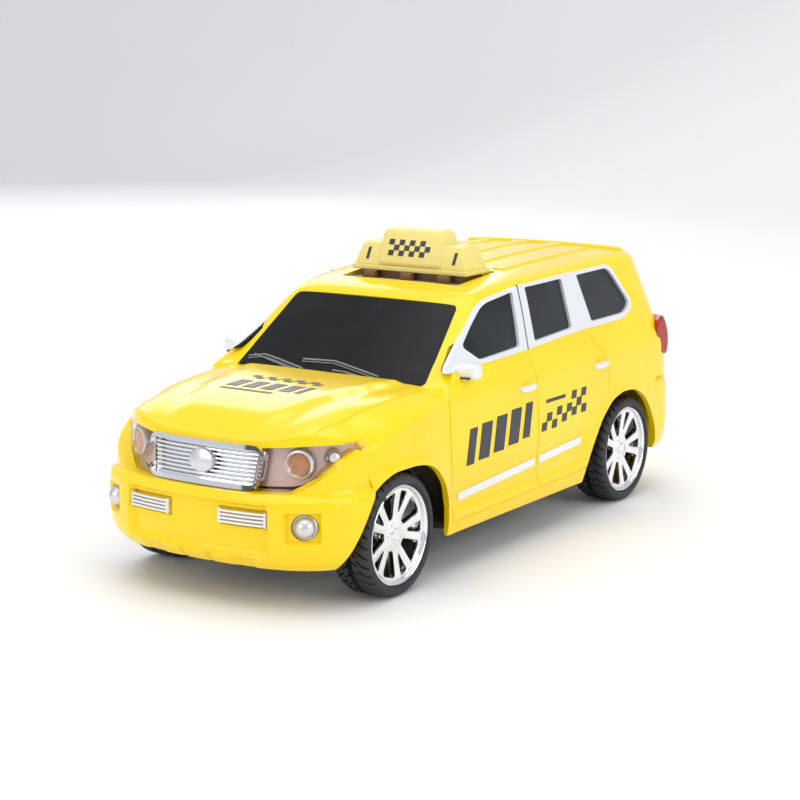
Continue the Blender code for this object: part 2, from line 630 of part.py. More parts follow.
def make_hub(name, side, y, inner_x, outer_x):
    """A rim barrel with a spoked face near its outer edge and a boss for the axle."""
    barrel_wall = 1.2
    half = (outer_x - inner_x) / 2 - 0.7
    middle = side * (inner_x + outer_x) / 2
    profile = [(RIM_RADIUS, half), (RIM_RADIUS, -half),
               (RIM_RADIUS - barrel_wall, -half), (RIM_RADIUS - barrel_wall, half)]
    hub = turned(name, profile, (middle, y, AXLE_HEIGHT), "chrome")
    face_depth = 2.6
    face_x = side * (outer_x - 2.6) - face_depth / 2
    spokes = prism(name + "_spokes", [circle((0, 0), RIM_RADIUS - 0.4, 24)] + spoke_holes(),
                   face_depth, at(face_x, y, AXLE_HEIGHT, ALONG_X))
    boolean(hub, spokes, "UNION")
    boss_length = outer_x - 1.8 - inner_x
    boss = rod(name + "_boss", (side * (inner_x + boss_length / 2), y, AXLE_HEIGHT), 4.2,
               boss_length)
    boolean(hub, boss, "UNION")
    bore_x = side * (inner_x + 3.5)
    boolean(hub, rod(name + "_bore", (bore_x, y, AXLE_HEIGHT), AXLE_RADIUS + FIT, 12.0))


def make_axles():
    length = TRACK + 2 * 1.2
    for name, y in (("front_axle", FRONT_AXLE_Y), ("rear_axle", REAR_AXLE_Y)):
        rod(name, (0, y, AXLE_HEIGHT), AXLE_RADIUS, length - 6.0, "X", "steel")


# ---- chassis -------------------------------------------------------------------------------

def well_outline(radius, bottom):
    """A front wheel's well, as (y, z): half round over the wheel and straight down to its bottom."""
    arc = [math.pi * i / 10 for i in range(11)]
    outline = [(FRONT_AXLE_Y + radius * math.cos(a), AXLE_HEIGHT + radius * math.sin(a)) for a in arc]
    return outline + [(FRONT_AXLE_Y - radius, bottom), (FRONT_AXLE_Y + radius, bottom)]


def make_chassis():
    half = [(30.0, -105.0), (WELL_WALL_X, -98.0), (WELL_WALL_X, -52.4), (45.6, -48.6),
            (45.6, 42.0), (WELL_WALL_X, 51.0), (WELL_WALL_X, 99.0), (30.0, 106.0)]
    motor_hole = [(-6.0, 57.2), (11.6, 57.2), (11.6, 87.2), (-6.0, 87.2)]
    chassis = prism("chassis", [both_halves(half), motor_hole], FLOOR_TOP - FLOOR_BOTTOM,
                    at(0, 0, FLOOR_BOTTOM), "black_chassis")
    for side in (-1, 1):
        low, high = sorted((side * (WELL_WALL_X - 2 * LINER_WALL), side * LINER_OUTER_X))
        boolean(chassis, prism("liner", [well_outline(LINER_RADIUS + LINER_WALL, FLOOR_BOTTOM + 0.4)],
                               high - low, at(low, 0, 0, ALONG_X)), "UNION")
    for side in (-1, 1):
        low, high = sorted((side * (WELL_WALL_X - LINER_WALL), side * 60.0))
        boolean(chassis, prism("liner_inside", [well_outline(LINER_RADIUS, 5.0)], high - low,
                               at(low, 0, 0, ALONG_X)))
        low, high = sorted((side * 17.0, side * 23.0))
        boolean(chassis, box("saddle", (low, FRONT_AXLE_Y - 5, FLOOR_BOTTOM + 1),
                             (high, FRONT_AXLE_Y + 5, AXLE_HEIGHT)), "UNION")
    boolean(chassis, rod("axle_way", (0, FRONT_AXLE_Y, AXLE_HEIGHT), AXLE_RADIUS + FIT, 80.0))
    boolean(chassis, rod("rear_axle_way", (0, REAR_AXLE_Y, AXLE_HEIGHT), 1.9, 90.0))
    clip = box("front_axle_clip", (-23.0, FRONT_AXLE_Y - 5, AXLE_HEIGHT + GAP),
               (23.0, FRONT_AXLE_Y + 5, AXLE_HEIGHT + 3.4), "black_chassis")
    boolean(clip, rod("clip_way", (0, FRONT_AXLE_Y, AXLE_HEIGHT), AXLE_RADIUS + FIT, 80.0))
    for name, (x, y) in SCREW_PLACES.items():
        boolean(chassis, rod("boss", (x, y, FLOOR_TOP + 3.0), 3.4, 7.0, "Z"), "UNION")
        boolean(chassis, rod("screw_hole", (x, y, FLOOR_TOP + 1.0), 1.6 + FIT, 18.0, "Z"))
        boolean(chassis, rod("screw_sink", (x, y, FLOOR_BOTTOM), 2.9, 3.6, "Z"))
        make_screw("chassis_screw_" + name, x, y, FLOOR_BOTTOM + 1.4, 1)
    for name, (x, y) in MOTOR_SCREWS.items():
        boolean(chassis, rod("motor_screw_hole", (x, y, FLOOR_TOP), 1.0 + FIT, 8.0, "Z"))
        make_screw("motor_screw_" + name, x, y, FOOT_Z[1] + GAP, -1)


def make_screw(name, x, y, head_z, direction):
    """A pan-head screw whose shank runs up, or down, from under its head."""
    shank = 1.6 if direction > 0 else 1.0
    length = 9.0 if direction > 0 else 4.4
    head = rod(name, (x, y, head_z - direction * 0.6), shank * 1.6, 1.2, "Z", "steel", 12)
    body = rod(name + "_shank", (x, y, head_z + direction * (length / 2 - 0.3)), shank,
               length + 0.6, "Z", None, 10)
    boolean(head, body, "UNION")


# ---- friction motor ------------------------------------------------------------------------

def gear_outline(teeth, centre, tooth_angle):
    """Straight-sided teeth, thinned for backlash, with one tooth at an angle."""
    pitch_radius = GEAR_MODULE * teeth / 2
    tip = pitch_radius + 0.8 * GEAR_MODULE
    root = pitch_radius - 1.1 * GEAR_MODULE
    points = []
    for i in range(teeth):
        angle = tooth_angle + 2 * math.pi * i / teeth
        for radius, offset in ((root, -0.52), (tip, -0.17), (tip, 0.17), (root, 0.52)):
            turn = angle + offset / radius
            points.append((centre[0] + radius * math.cos(turn), centre[1] + radius * math.sin(turn)))
    return points


def shaft_places():
    """The axle and the three pins that follow it, as (y, z)."""
    places = [(REAR_AXLE_Y, AXLE_HEIGHT)]
    for angle in STEP_ANGLES:
        y, z = places[-1]
        places.append((y + CENTRES * math.cos(angle), z + CENTRES * math.sin(angle)))
    return places


def toothed(name, teeth, tooth_angle, x, depth, bore, centre, slot=None):
    """A gear plate with its origin on its own axis."""
    outlines = [gear_outline(teeth, (0, 0), tooth_angle), circle((0, 0), bore, 12)]
    return prism(name, outlines, depth, at(x, centre[0], centre[1], ALONG_X), slot)


def make_gears():
    places = shaft_places()
    bore = PIN_RADIUS + FIT
    half_pitch = math.pi / PINION_TEETH
    toothed("axle_gear", WHEEL_TEETH, STEP_ANGLES[0], GEAR_PLANES[0], GEAR_WIDTH,
            AXLE_RADIUS + FIT, places[0], "white_gear")
    for step in (1, 2):
        name = f"idler_gear_{step}"
        gear = toothed(name, WHEEL_TEETH, STEP_ANGLES[step], GEAR_PLANES[step], GEAR_WIDTH, bore,
                       places[step], "white_gear")
        pinion = toothed(name + "_pinion", PINION_TEETH, STEP_ANGLES[step - 1] + math.pi + half_pitch,
                         GEAR_PLANES[step] + 0.5, GEAR_PLANES[step - 1] + GEAR_WIDTH
                         - GEAR_PLANES[step] - 0.5, bore, places[step])
        boolean(gear, pinion, "UNION")
        rod(f"idler_shaft_{step}", ((HOUSING_LOW_X + 10.8) / 2, *places[step]), PIN_RADIUS,
            10.8 - HOUSING_LOW_X, "X", "steel", 12)
    disc_low, disc_high = FLYWHEEL_X
    disc_profile = [(FLYWHEEL_RADIUS, disc_high), (FLYWHEEL_RADIUS, disc_low), (bore, disc_low),
                    (bore, GEAR_PLANES[2]), (BOSS_RADIUS, GEAR_PLANES[2]),
                    (BOSS_RADIUS, disc_high)]
    flywheel = turned("flywheel", disc_profile[::-1][-1:] + disc_profile[1:], (0, *places[3]),
                      "zinc", 20)
    pinion = toothed("flywheel_pinion", PINION_TEETH, STEP_ANGLES[2] + math.pi + half_pitch,
                     GEAR_PLANES[2] - 0.4, GEAR_WIDTH + 0.4, bore, places[3])
    boolean(flywheel, pinion, "UNION")
    rod("flywheel_shaft", ((disc_low + 10.8) / 2, *places[3]), PIN_RADIUS, 10.8 - disc_low, "X",
        "steel", 12)


def make_motor_case():
    places = shaft_places()
    tip = GEAR_MODULE * WHEEL_TEETH / 2 + 0.8 * GEAR_MODULE
    inner_radii = [tip + 0.7, tip + 0.7, tip + 0.7, 4.0]

    def outline(extra):
        points = []
        for place, radius in zip(places, inner_radii):
            points += circle(place, radius + extra, 18)
        return hull(points)
    depth = HOUSING_HIGH_X - HOUSING_LOW_X
    case = prism("motor_housing", [outline(HOUSING_WALL)], depth,
                 at(HOUSING_LOW_X, 0, 0, ALONG_X), "black_chassis")
    for name, low_y, high_y in (("front", 46.8, 64.0), ("rear", 83.0, 94.0)):
        boolean(case, box("foot", (-2.4, low_y, FOOT_Z[0]), (6.4, high_y, FOOT_Z[1])), "UNION")
        x, y = MOTOR_SCREWS[name]
        boolean(case, rod("foot_hole", (x, y, FOOT_Z[0]), 1.0 + FIT, 8.0, "Z"))
    boolean(case, prism("case_inside", [outline(0.0)], depth,
                        at(HOUSING_LOW_X + HOUSING_WALL, 0, 0, ALONG_X)))
    cover_x = HOUSING_HIGH_X + GAP
    cover = prism("motor_cover", [outline(HOUSING_WALL)], COVER_THICKNESS,
                  at(cover_x, 0, 0, ALONG_X), "black_chassis")
    for piece in (case, cover):
        radii = [AXLE_RADIUS + FIT, PIN_RADIUS + FIT, PIN_RADIUS + FIT,
                 BOSS_RADIUS + 0.5 if piece is case else PIN_RADIUS + FIT]
        for place, radius in zip(places, radii):
            boolean(piece, rod("shaft_hole", (0, *place), radius, 40.0, "X", None, 12))


def main():
    global PARTS, CUTTERS
    clear_scene()
    PARTS = new_collection("Toy taxi")
    CUTTERS = new_collection("Cutters")
    make_materials()
    make_body()
    make_bumpers()
    make_glass()
    make_strips_and_handles()
    make_front_lamps()
    make_sign()
    make_wheels()
    make_axles()
    make_chassis()
    make_gears()
    make_motor_case()


main()
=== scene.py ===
# %% [markdown]
# # A friction-drive toy taxi, dressed from its mechanical frame
# The frame gives every moving body of the toy: the car, its two axles and the gears of the
# friction motor. This script keeps that frame and builds what the eye sees round it: a glossy
# moulded body, plated wheels, lamps, glass and a roof sign.

# %% Load the frame
import json
import math

import bmesh
import bpy
from mathutils import Matrix, Vector

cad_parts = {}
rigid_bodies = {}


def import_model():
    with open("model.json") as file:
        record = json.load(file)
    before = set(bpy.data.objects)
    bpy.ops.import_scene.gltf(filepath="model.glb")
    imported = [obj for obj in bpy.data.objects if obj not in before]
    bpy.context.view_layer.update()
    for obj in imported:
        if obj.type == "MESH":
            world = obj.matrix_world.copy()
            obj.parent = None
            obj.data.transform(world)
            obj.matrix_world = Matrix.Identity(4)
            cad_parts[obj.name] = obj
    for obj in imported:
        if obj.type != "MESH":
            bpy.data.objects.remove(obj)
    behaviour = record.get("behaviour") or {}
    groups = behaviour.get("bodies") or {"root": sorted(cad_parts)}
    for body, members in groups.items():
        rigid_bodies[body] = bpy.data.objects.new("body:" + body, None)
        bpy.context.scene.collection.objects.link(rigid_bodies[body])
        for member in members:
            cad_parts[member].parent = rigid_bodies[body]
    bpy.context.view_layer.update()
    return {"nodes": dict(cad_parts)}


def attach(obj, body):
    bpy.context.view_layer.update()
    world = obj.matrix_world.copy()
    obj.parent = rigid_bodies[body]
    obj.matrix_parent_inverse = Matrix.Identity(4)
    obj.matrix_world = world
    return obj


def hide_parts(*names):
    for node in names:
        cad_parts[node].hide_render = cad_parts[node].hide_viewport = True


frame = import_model()

# %% [markdown]
# ## Working in millimetres
# Small plastic toys are drawn in millimetres, so each piece is shaped in millimetres and is
# scaled down to metres in one place, when it is finished. The helpers below work on bmesh
# data and hand it on, so a piece reads as a short chain of steps.

# %% Helpers for outlines and solids
MM = 0.001
ALONG_X = Matrix(((0, 0, 1), (1, 0, 0), (0, 1, 0))).to_4x4()       # outlines as (y, z)
ALONG_FRONT = Matrix(((1, 0, 0), (0, 0, -1), (0, 1, 0))).to_4x4()  # outlines as (x, z)
ALONG_Z = Matrix.Identity(4)                                        # outlines as (x, y)
SMOOTH_ANGLE = math.radians(32)


def at(x, y, z, turn=ALONG_Z):
    """A turn, moved to a place."""
    return Matrix.Translation((x, y, z)) @ turn


def mirrored_outline(half):
    """Closes an outline given for x >= 0 with its mirror image."""
    return half + [(-x, other) for x, other in reversed(half) if x > 0]


def rounded(outline, radius, steps=4):
    """Replaces each corner by a short arc; radius is one number or one for each corner."""
    radii = radius if isinstance(radius, (list, tuple)) else [radius] * len(outline)
    points = []
    for i, corner in enumerate(outline):
        corner = Vector(corner)
        before = Vector(outline[i - 1]) - corner
        after = Vector(outline[(i + 1) % len(outline)]) - corner
        reach = min(radii[i], before.length * 0.45, after.length * 0.45)
        start = corner + before.normalized() * reach
        end = corner + after.normalized() * reach
        for step in range(steps + 1):
            part = step / steps
            points.append(tuple(start * (1 - part) ** 2 + corner * 2 * part * (1 - part)
                                + end * part ** 2))
    return points


def slab(outline, depth, place):
    """A flat plate with the outline as its edge, pushed along its own Z and put in place."""
    work = bmesh.new()
    face = work.faces.new([work.verts.new((across, up, 0)) for across, up in outline])
    pushed = bmesh.ops.extrude_face_region(work, geom=[face])["geom"]
    bmesh.ops.translate(work, vec=(0, 0, depth),
                        verts=[item for item in pushed if isinstance(item, bmesh.types.BMVert)])
    bmesh.ops.transform(work, matrix=place, verts=work.verts)
    bmesh.ops.recalc_face_normals(work, faces=work.faces)
    return work


def block(low, high, soft=0, segments=3):
    """A box between two corners, with softened edges."""
    work = bmesh.new()
    bmesh.ops.create_cube(work, size=1)
    bmesh.ops.scale(work, vec=Vector(high) - Vector(low), verts=work.verts)
    bmesh.ops.translate(work, vec=(Vector(high) + Vector(low)) / 2, verts=work.verts)
    if soft:
        soften(work, soft, segments)
    return work


def soften(work, width, segments=3, sharper_than=30):
    """Rounds every edge that turns more than an angle."""
    limit = math.radians(sharper_than)
    edges = [edge for edge in work.edges if edge.is_manifold and edge.calc_face_angle() > limit]
    bmesh.ops.bevel(work, geom=edges, offset=width, offset_type="OFFSET", affect="EDGES",
                    segments=segments, profile=0.5, material=-1, clamp_overlap=True)
    return work


def turned(profile, place, steps=64):
    """Spins a profile, given as (radius, along), one full turn about the place's Z axis."""
    work = bmesh.new()
    points = [work.verts.new((radius, 0, along)) for radius, along in profile]
    edges = [work.edges.new(pair) for pair in zip(points, points[1:] + points[:1])]
    bmesh.ops.spin(work, geom=points + edges, cent=(0, 0, 0), axis=(0, 0, 1),
                   angle=2 * math.pi, steps=steps, use_merge=True)
    bmesh.ops.remove_doubles(work, verts=work.verts, dist=0.0005)
    bmesh.ops.transform(work, matrix=place, verts=work.verts)
    bmesh.ops.recalc_face_normals(work, faces=work.faces)
    return work


def ball(centre, radius, squash=(1, 1, 1), rings=20):
    """A ball, or a flattened one."""
    work = bmesh.new()
    bmesh.ops.create_uvsphere(work, u_segments=rings * 2, v_segments=rings, radius=radius)
    bmesh.ops.scale(work, vec=squash, verts=work.verts)
    bmesh.ops.translate(work, vec=centre, verts=work.verts)
    return work


def joined(*parts):
    """Puts several closed forms into one mesh."""
    work = bmesh.new()
    for part in parts:
        mesh = bpy.data.meshes.new("joined")
        part.to_mesh(mesh)
        part.free()
        work.from_mesh(mesh)
        bpy.data.meshes.remove(mesh)
    return work


def mirror_of(work):
    """The opposite-hand copy, with its faces turned back outwards."""
    other = work.copy()
    bmesh.ops.scale(other, vec=(-1, 1, 1), verts=other.verts)
    bmesh.ops.reverse_faces(other, faces=other.faces)
    return other


def lattice(work, axis, cuts):
    """Slices a form by planes across one axis, so that it can be bent afterwards."""
    normal = [0, 0, 0]
    normal[axis] = 1
    for cut in cuts:
        place = [0, 0, 0]
        place[axis] = cut
        bmesh.ops.bisect_plane(work, geom=work.verts[:] + work.edges[:] + work.faces[:],
                               dist=0.0005, plane_co=place, plane_no=normal)
    return work


def steps_between(low, high, size):
    """Even steps of about a size, without the two ends."""
    count = max(1, round((high - low) / size))
    return [low + (high - low) * i / count for i in range(1, count)]


# %% [markdown]
# ## Cutting one form with another
# Windows, arches and pockets go right through a moulded wall, so they are cut with exact
# Booleans. Two faces that nearly touch can spoil such a cut, so each result is measured, and a
# cut that went wrong is made again with its tool moved by a few hundredths of a millimetre.

# %% Booleans
NUDGES = (0, 0.013, -0.021, 0.034)


def exact_boolean(base, tool):
    """What is left of one form when another is taken out of it, as a new form."""
    holders = []
    for part in (base, tool):
        mesh = bpy.data.meshes.new("boolean")
        part.to_mesh(mesh)
        holder = bpy.data.objects.new("boolean", mesh)
        bpy.context.scene.collection.objects.link(holder)
        holders.append(holder)
    cut = holders[0].modifiers.new("cut", "BOOLEAN")
    cut.operation = "DIFFERENCE"
    cut.solver = "EXACT"
    cut.object = holders[1]
    graph = bpy.context.evaluated_depsgraph_get()
    mesh = bpy.data.meshes.new_from_object(holders[0].evaluated_get(graph))
    result = bmesh.new()
    result.from_mesh(mesh)
    for holder in holders:
        bpy.data.meshes.remove(holder.data)
    bpy.data.meshes.remove(mesh)
    return result


def cut_away(base, tool):
    """Cuts the tool out of the base, and tries again with it nudged if a face spoils the cut."""
    base_volume = base.calc_volume(signed=True)
    for nudge in NUDGES:
        bmesh.ops.translate(tool, vec=(nudge, nudge, nudge * 0.7), verts=tool.verts)
        result = exact_boolean(base, tool)
        volume = result.calc_volume(signed=True)
        smallest = base_volume - tool.calc_volume(signed=True) * 1.001
        if smallest < volume < base_volume - 1 and all(edge.is_manifold for edge in result.edges):
            break
        print("a cut is made again after a nudge of", nudge)
    base.free()
    tool.free()
    return result


# %% [markdown]
# ## Bars, finished pieces and curves
# Panel lines and wipers are thin round bars along a path. Every finished form passes through
# one function, which scales it, shades it and tells the frame which body carries it. Smooth
# lines run through a few chosen points and never swing past them, as a draughtsman's spline does.

# %% Bars, finished pieces and curves
def tube(points, radius):
    """A round bar along a path, with closed ends."""
    curve = bpy.data.curves.new("tube", "CURVE")
    curve.dimensions = "3D"
    curve.bevel_depth = radius
    curve.bevel_resolution = 1
    curve.use_fill_caps = True
    line = curve.splines.new("POLY")
    line.points.add(len(points) - 1)
    for knot, point in zip(line.points, points):
        knot.co = (*point, 1)
    holder = bpy.data.objects.new("tube", curve)
    bpy.context.scene.collection.objects.link(holder)
    graph = bpy.context.evaluated_depsgraph_get()
    mesh = bpy.data.meshes.new_from_object(holder.evaluated_get(graph))
    work = bmesh.new()
    work.from_mesh(mesh)
    bmesh.ops.remove_doubles(work, verts=work.verts, dist=0.0005)
    bmesh.ops.recalc_face_normals(work, faces=work.faces)
    bpy.data.objects.remove(holder)
    bpy.data.curves.remove(curve)
    bpy.data.meshes.remove(mesh)
    return work


def piece(work, name, material, body="car", replaces=(), sharp=SMOOTH_ANGLE):
    """Finishes a form: metres, shading, material, and its place in the frame."""
    bmesh.ops.scale(work, vec=(MM, MM, MM), verts=work.verts)
    mesh = bpy.data.meshes.new(name)
    work.to_mesh(mesh)
    work.free()
    mesh.shade_smooth()
    mesh.set_sharp_from_angle(angle=sharp)
    mesh.materials.clear()
    mesh.materials.append(material)
    item = bpy.data.objects.new(name, mesh)
    bpy.context.scene.collection.objects.link(item)
    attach(item, body)
    if replaces:
        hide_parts(*replaces)
    print(f"{name}: {sum(len(face.vertices) - 2 for face in mesh.polygons)} triangles")
    return item


def curve_through(points):
    """A smooth function through (input, output) pairs that doesn't overshoot between them."""
    inputs = [point[0] for point in points]
    outputs = [point[1] for point in points]
    rises = [(outputs[i + 1] - outputs[i]) / (inputs[i + 1] - inputs[i])
             for i in range(len(points) - 1)]
    slopes = [rises[0]]
    for before, after in zip(rises, rises[1:]):
        slopes.append(0 if before * after <= 0 else 2 * before * after / (before + after))
    slopes.append(rises[-1])

    def value(x):
        if x <= inputs[0]:
            return outputs[0] + (x - inputs[0]) * slopes[0]
        if x >= inputs[-1]:
            return outputs[-1] + (x - inputs[-1]) * slopes[-1]
        i = next(i for i in range(len(inputs) - 1) if x <= inputs[i + 1])
        span = inputs[i + 1] - inputs[i]
        t = (x - inputs[i]) / span
        return (outputs[i] * (1 + 2 * t) * (1 - t) ** 2 + slopes[i] * span * t * (1 - t) ** 2
                + outputs[i + 1] * t * t * (3 - 2 * t) - slopes[i + 1] * span * t * t * (1 - t))

    return value


def ease(low, high, x):
    """Runs smoothly from 0 at low to 1 at high."""
    t = min(1, max(0, (x - low) / (high - low)))
    return t * t * (3 - 2 * t)


# %% [markdown]
# ## Finishes
# Nearly everything on this toy is one of four things: shiny coloured plastic, vacuum-plated
# plastic, clear plastic or soft tyre rubber. Plastic looks like plastic because its colour is
# slightly uneven, its gloss has faint smears, and its surface has a slight ripple left by the
# mould. One node group holds that unevenness, and each material sets its own strength.

# %% The shared surface group
def make_surface_group():
    group = bpy.data.node_groups.new("moulded surface", "ShaderNodeTree")
    sockets = group.interface
    for name, default in (("Tone Scale", 30), ("Smear Scale", 120), ("Grain Scale", 2500)):
        socket = sockets.new_socket(name, in_out="INPUT", socket_type="NodeSocketFloat")
        socket.default_value = default
    for name in ("Tone", "Smear", "Height"):
        sockets.new_socket(name, in_out="OUTPUT", socket_type="NodeSocketFloat")
    nodes, links = group.nodes, group.links
    inlet = nodes.new("NodeGroupInput")
    outlet = nodes.new("NodeGroupOutput")
    place = nodes.new("ShaderNodeTexCoord")
    for scale_name, out_name, detail in (("Tone Scale", "Tone", 3), ("Smear Scale", "Smear", 5)):
        noise = nodes.new("ShaderNodeTexNoise")
        noise.inputs["Detail"].default_value = detail
        links.new(place.outputs["Object"], noise.inputs["Vector"])
        links.new(inlet.outputs[scale_name], noise.inputs["Scale"])
        spread = nodes.new("ShaderNodeMapRange")
        spread.inputs["From Min"].default_value = 0.3
        spread.inputs["From Max"].default_value = 0.7
        links.new(noise.outputs["Fac"], spread.inputs["Value"])
        links.new(spread.outputs["Result"], outlet.inputs[out_name])
    grain = nodes.new("ShaderNodeTexNoise")
    grain.inputs["Detail"].default_value = 2
    links.new(place.outputs["Object"], grain.inputs["Vector"])
    links.new(inlet.outputs["Grain Scale"], grain.inputs["Scale"])
    links.new(grain.outputs["Fac"], outlet.inputs["Height"])
    return group


SURFACE = make_surface_group()
COAT_ROUGHNESS = 0.04


def finish(name, colour, other=None, roughness=(0.2, 0.3), metallic=0, bump=0.05, coat=0,
           tone=30, smear=120, grain=2500, distance=0.00005, **sockets):
    """A material: two tones, a range of roughness and a fine bump, all from the shared group."""
    material = bpy.data.materials.new(name)
    material.use_nodes = True
    nodes, links = material.node_tree.nodes, material.node_tree.links
    shader = nodes["Principled BSDF"]
    surface = nodes.new("ShaderNodeGroup")
    surface.node_tree = SURFACE
    for socket, value in (("Tone Scale", tone), ("Smear Scale", smear), ("Grain Scale", grain)):
        surface.inputs[socket].default_value = value
    blend = nodes.new("ShaderNodeMix")
    blend.data_type = "RGBA"
    blend.inputs["A"].default_value = (*colour, 1)
    blend.inputs["B"].default_value = (*(other or [part * 0.88 for part in colour]), 1)
    links.new(surface.outputs["Tone"], blend.inputs["Factor"])
    links.new(blend.outputs["Result"], shader.inputs["Base Color"])
    gloss = nodes.new("ShaderNodeMapRange")
    gloss.inputs["To Min"].default_value, gloss.inputs["To Max"].default_value = roughness
    links.new(surface.outputs["Smear"], gloss.inputs["Value"])
    links.new(gloss.outputs["Result"], shader.inputs["Roughness"])
    ripple = nodes.new("ShaderNodeBump")
    ripple.inputs["Strength"].default_value = bump
    ripple.inputs["Distance"].default_value = distance
    links.new(surface.outputs["Height"], ripple.inputs["Height"])
    links.new(ripple.outputs["Normal"], shader.inputs["Normal"])
    shader.inputs["Metallic"].default_value = metallic
    shader.inputs["Coat Weight"].default_value = coat
    shader.inputs["Coat Roughness"].default_value = COAT_ROUGHNESS
    for socket, value in sockets.items():
        shader.inputs[socket.replace("_", " ")].default_value = value
    return material


# %% [markdown]
# The yellow is coloured right through, so it is set up as plastic with a thin clear gloss. The
# chrome is a metal film on plastic and keeps the mould's faint waves. The screen and the side
# windows are dark mouldings and not real glass, and only the lamp covers let light through.

# %% Paints, plating, glass and rubber
YELLOW = finish("yellow plastic", (1, 0.72, 0), (0.98, 0.66, 0), (0.16, 0.24), bump=0.08,
                coat=0.25, tone=22, smear=70, grain=900, distance=0.00004, Specular_IOR_Level=0.36)
CREAM = finish("cream plastic", (0.88, 0.74, 0.24), (0.84, 0.68, 0.18), (0.30, 0.40), coat=0.1)
GLASS_BLACK = finish("black screen", (0.003, 0.003, 0.004), (0.007, 0.007, 0.008), (0.16, 0.26),
                     tone=18, bump=0.03, Specular_IOR_Level=0.22)
GLASS_SIDE = finish("smoked glass", (0.008, 0.010, 0.012), (0.022, 0.026, 0.030), (0.12, 0.28),
                    tone=55, smear=60, bump=0.06, grain=400, Specular_IOR_Level=0.30)
SILVER = finish("silver paint", (0.86, 0.87, 0.90), (0.82, 0.83, 0.87), (0.28, 0.34), metallic=0.30,
                tone=12, smear=30, bump=0.02)
CHROME = finish("vacuum chrome", (0.90, 0.90, 0.92), (0.82, 0.83, 0.86), (0.05, 0.12), metallic=1,
                bump=0.03, grain=500, distance=0.00006)
SATIN = finish("satin silver", (0.74, 0.74, 0.76), (0.66, 0.66, 0.69), (0.26, 0.34), metallic=0.85)
LENS = finish("clear lens", (1, 0.93, 0.92), (1, 0.91, 0.90), (0.02, 0.06), bump=0.03,
              Transmission_Weight=1, IOR=1.40)
LAMP_BOWL = finish("lamp bowl", (0.93, 0.82, 0.80), (0.84, 0.72, 0.70), (0.25, 0.40), metallic=0.25)
WIPER = finish("wiper edge", (0.20, 0.20, 0.22), (0.30, 0.30, 0.33), (0.30, 0.45), metallic=0.2)
AMBER = finish("amber lamp", (0.84, 0.44, 0.20), (0.74, 0.36, 0.14), (0.15, 0.25), coat=0.4)
RED = finish("red lens", (0.58, 0.006, 0.010), (0.46, 0.003, 0.006), (0.08, 0.16), coat=0.2,
             Transmission_Weight=0.25)
RUBBER = finish("tyre rubber", (0.016, 0.017, 0.020), (0.030, 0.031, 0.034), (0.50, 0.68),
                bump=0.35, tone=60, grain=1800, distance=0.0001)
BLACK = finish("black plastic", (0.014, 0.014, 0.014), (0.022, 0.022, 0.022), (0.40, 0.55),
               bump=0.25, grain=1500, distance=0.0001)
INK = finish("printed ink", (0.018, 0.018, 0.030), (0.030, 0.030, 0.044), (0.30, 0.42), tone=90)
# Painted reflection: this grey-blue stands for the sky mirrored in the glossy dark floor of the sign's
# recess.
SKY_REFLECTION_GREY = finish("grey painted sky reflection", (0.20, 0.22, 0.27), (0.15, 0.16, 0.20), (0.35, 0.5))
# Painted reflection: this brown stands for the sign's underside mirrored in the glossy floor beneath it.
SIGN_REFLECTION_BROWN = finish("brown painted reflection", (0.25, 0.11, 0.03), (0.17, 0.08, 0.02), (0.35, 0.5))
GEAR = finish("white nylon", (0.80, 0.80, 0.76), (0.72, 0.72, 0.68), (0.35, 0.48), bump=0.1)
STEEL = finish("bright steel", (0.60, 0.60, 0.62), (0.50, 0.50, 0.52), (0.22, 0.38), metallic=1,
               bump=0.12)
ZINC = finish("cast zinc", (0.34, 0.34, 0.36), (0.26, 0.26, 0.28), (0.38, 0.55), metallic=1,
              bump=0.3, grain=900, distance=0.0001)
print(len(bpy.data.materials), "finishes")

# %% [markdown]
# ## Camera, floor and lights
# The toy is looked at from its front left corner, a little from above, with a long lens that
# keeps its lines nearly parallel. A pale sweep of paper and wide soft lamps give the clean
# studio look of a catalogue, and the wide lamps draw long soft reflections on the gloss.

# %% The camera
CAMERA_PLACE = (360.50, -548.52, 169.34)
SENSOR_WIDTH, FOCAL_LENGTH = 36, 86.66
NEAREST = 0.01
AZIMUTH = math.radians(33.507)
ELEVATION = math.radians(10.789)
ROLL = math.radians(0.15)

camera_data = bpy.data.cameras.new("camera")
camera_data.sensor_width = SENSOR_WIDTH
camera_data.lens = FOCAL_LENGTH
camera = bpy.data.objects.new("camera", camera_data)
bpy.context.scene.collection.objects.link(camera)
backwards = Vector((math.sin(AZIMUTH) * math.cos(ELEVATION),
                    -math.cos(AZIMUTH) * math.cos(ELEVATION), math.sin(ELEVATION)))
camera.rotation_mode = "QUATERNION"
camera.location = Vector(CAMERA_PLACE) * MM
camera.rotation_quaternion = (-backwards).to_track_quat("-Z", "Y") @ Matrix.Rotation(
    ROLL, 3, "Z").to_quaternion()
camera_data.clip_start = NEAREST
bpy.context.scene.camera = camera
print("camera at", [round(value, 3) for value in camera.location])

# %% [markdown]
# The paper lies flat under the toy and curves up well behind it, so no edge shows.

# %% The paper sweep
PAPER_HALF_WIDTH, PAPER_HALF_LENGTH = 4, 2.1
PAPER_FRONT_Y = -1.6
PAPER_BEND_Y = 1.2                # where the paper starts to rise
PAPER_CURVE = 1.5


def stage_piece(work, name, material):
    """Puts something in the scene that isn't part of the toy."""
    mesh = bpy.data.meshes.new(name)
    work.to_mesh(mesh)
    work.free()
    mesh.materials.append(material)
    item = bpy.data.objects.new(name, mesh)
    bpy.context.scene.collection.objects.link(item)
    return item


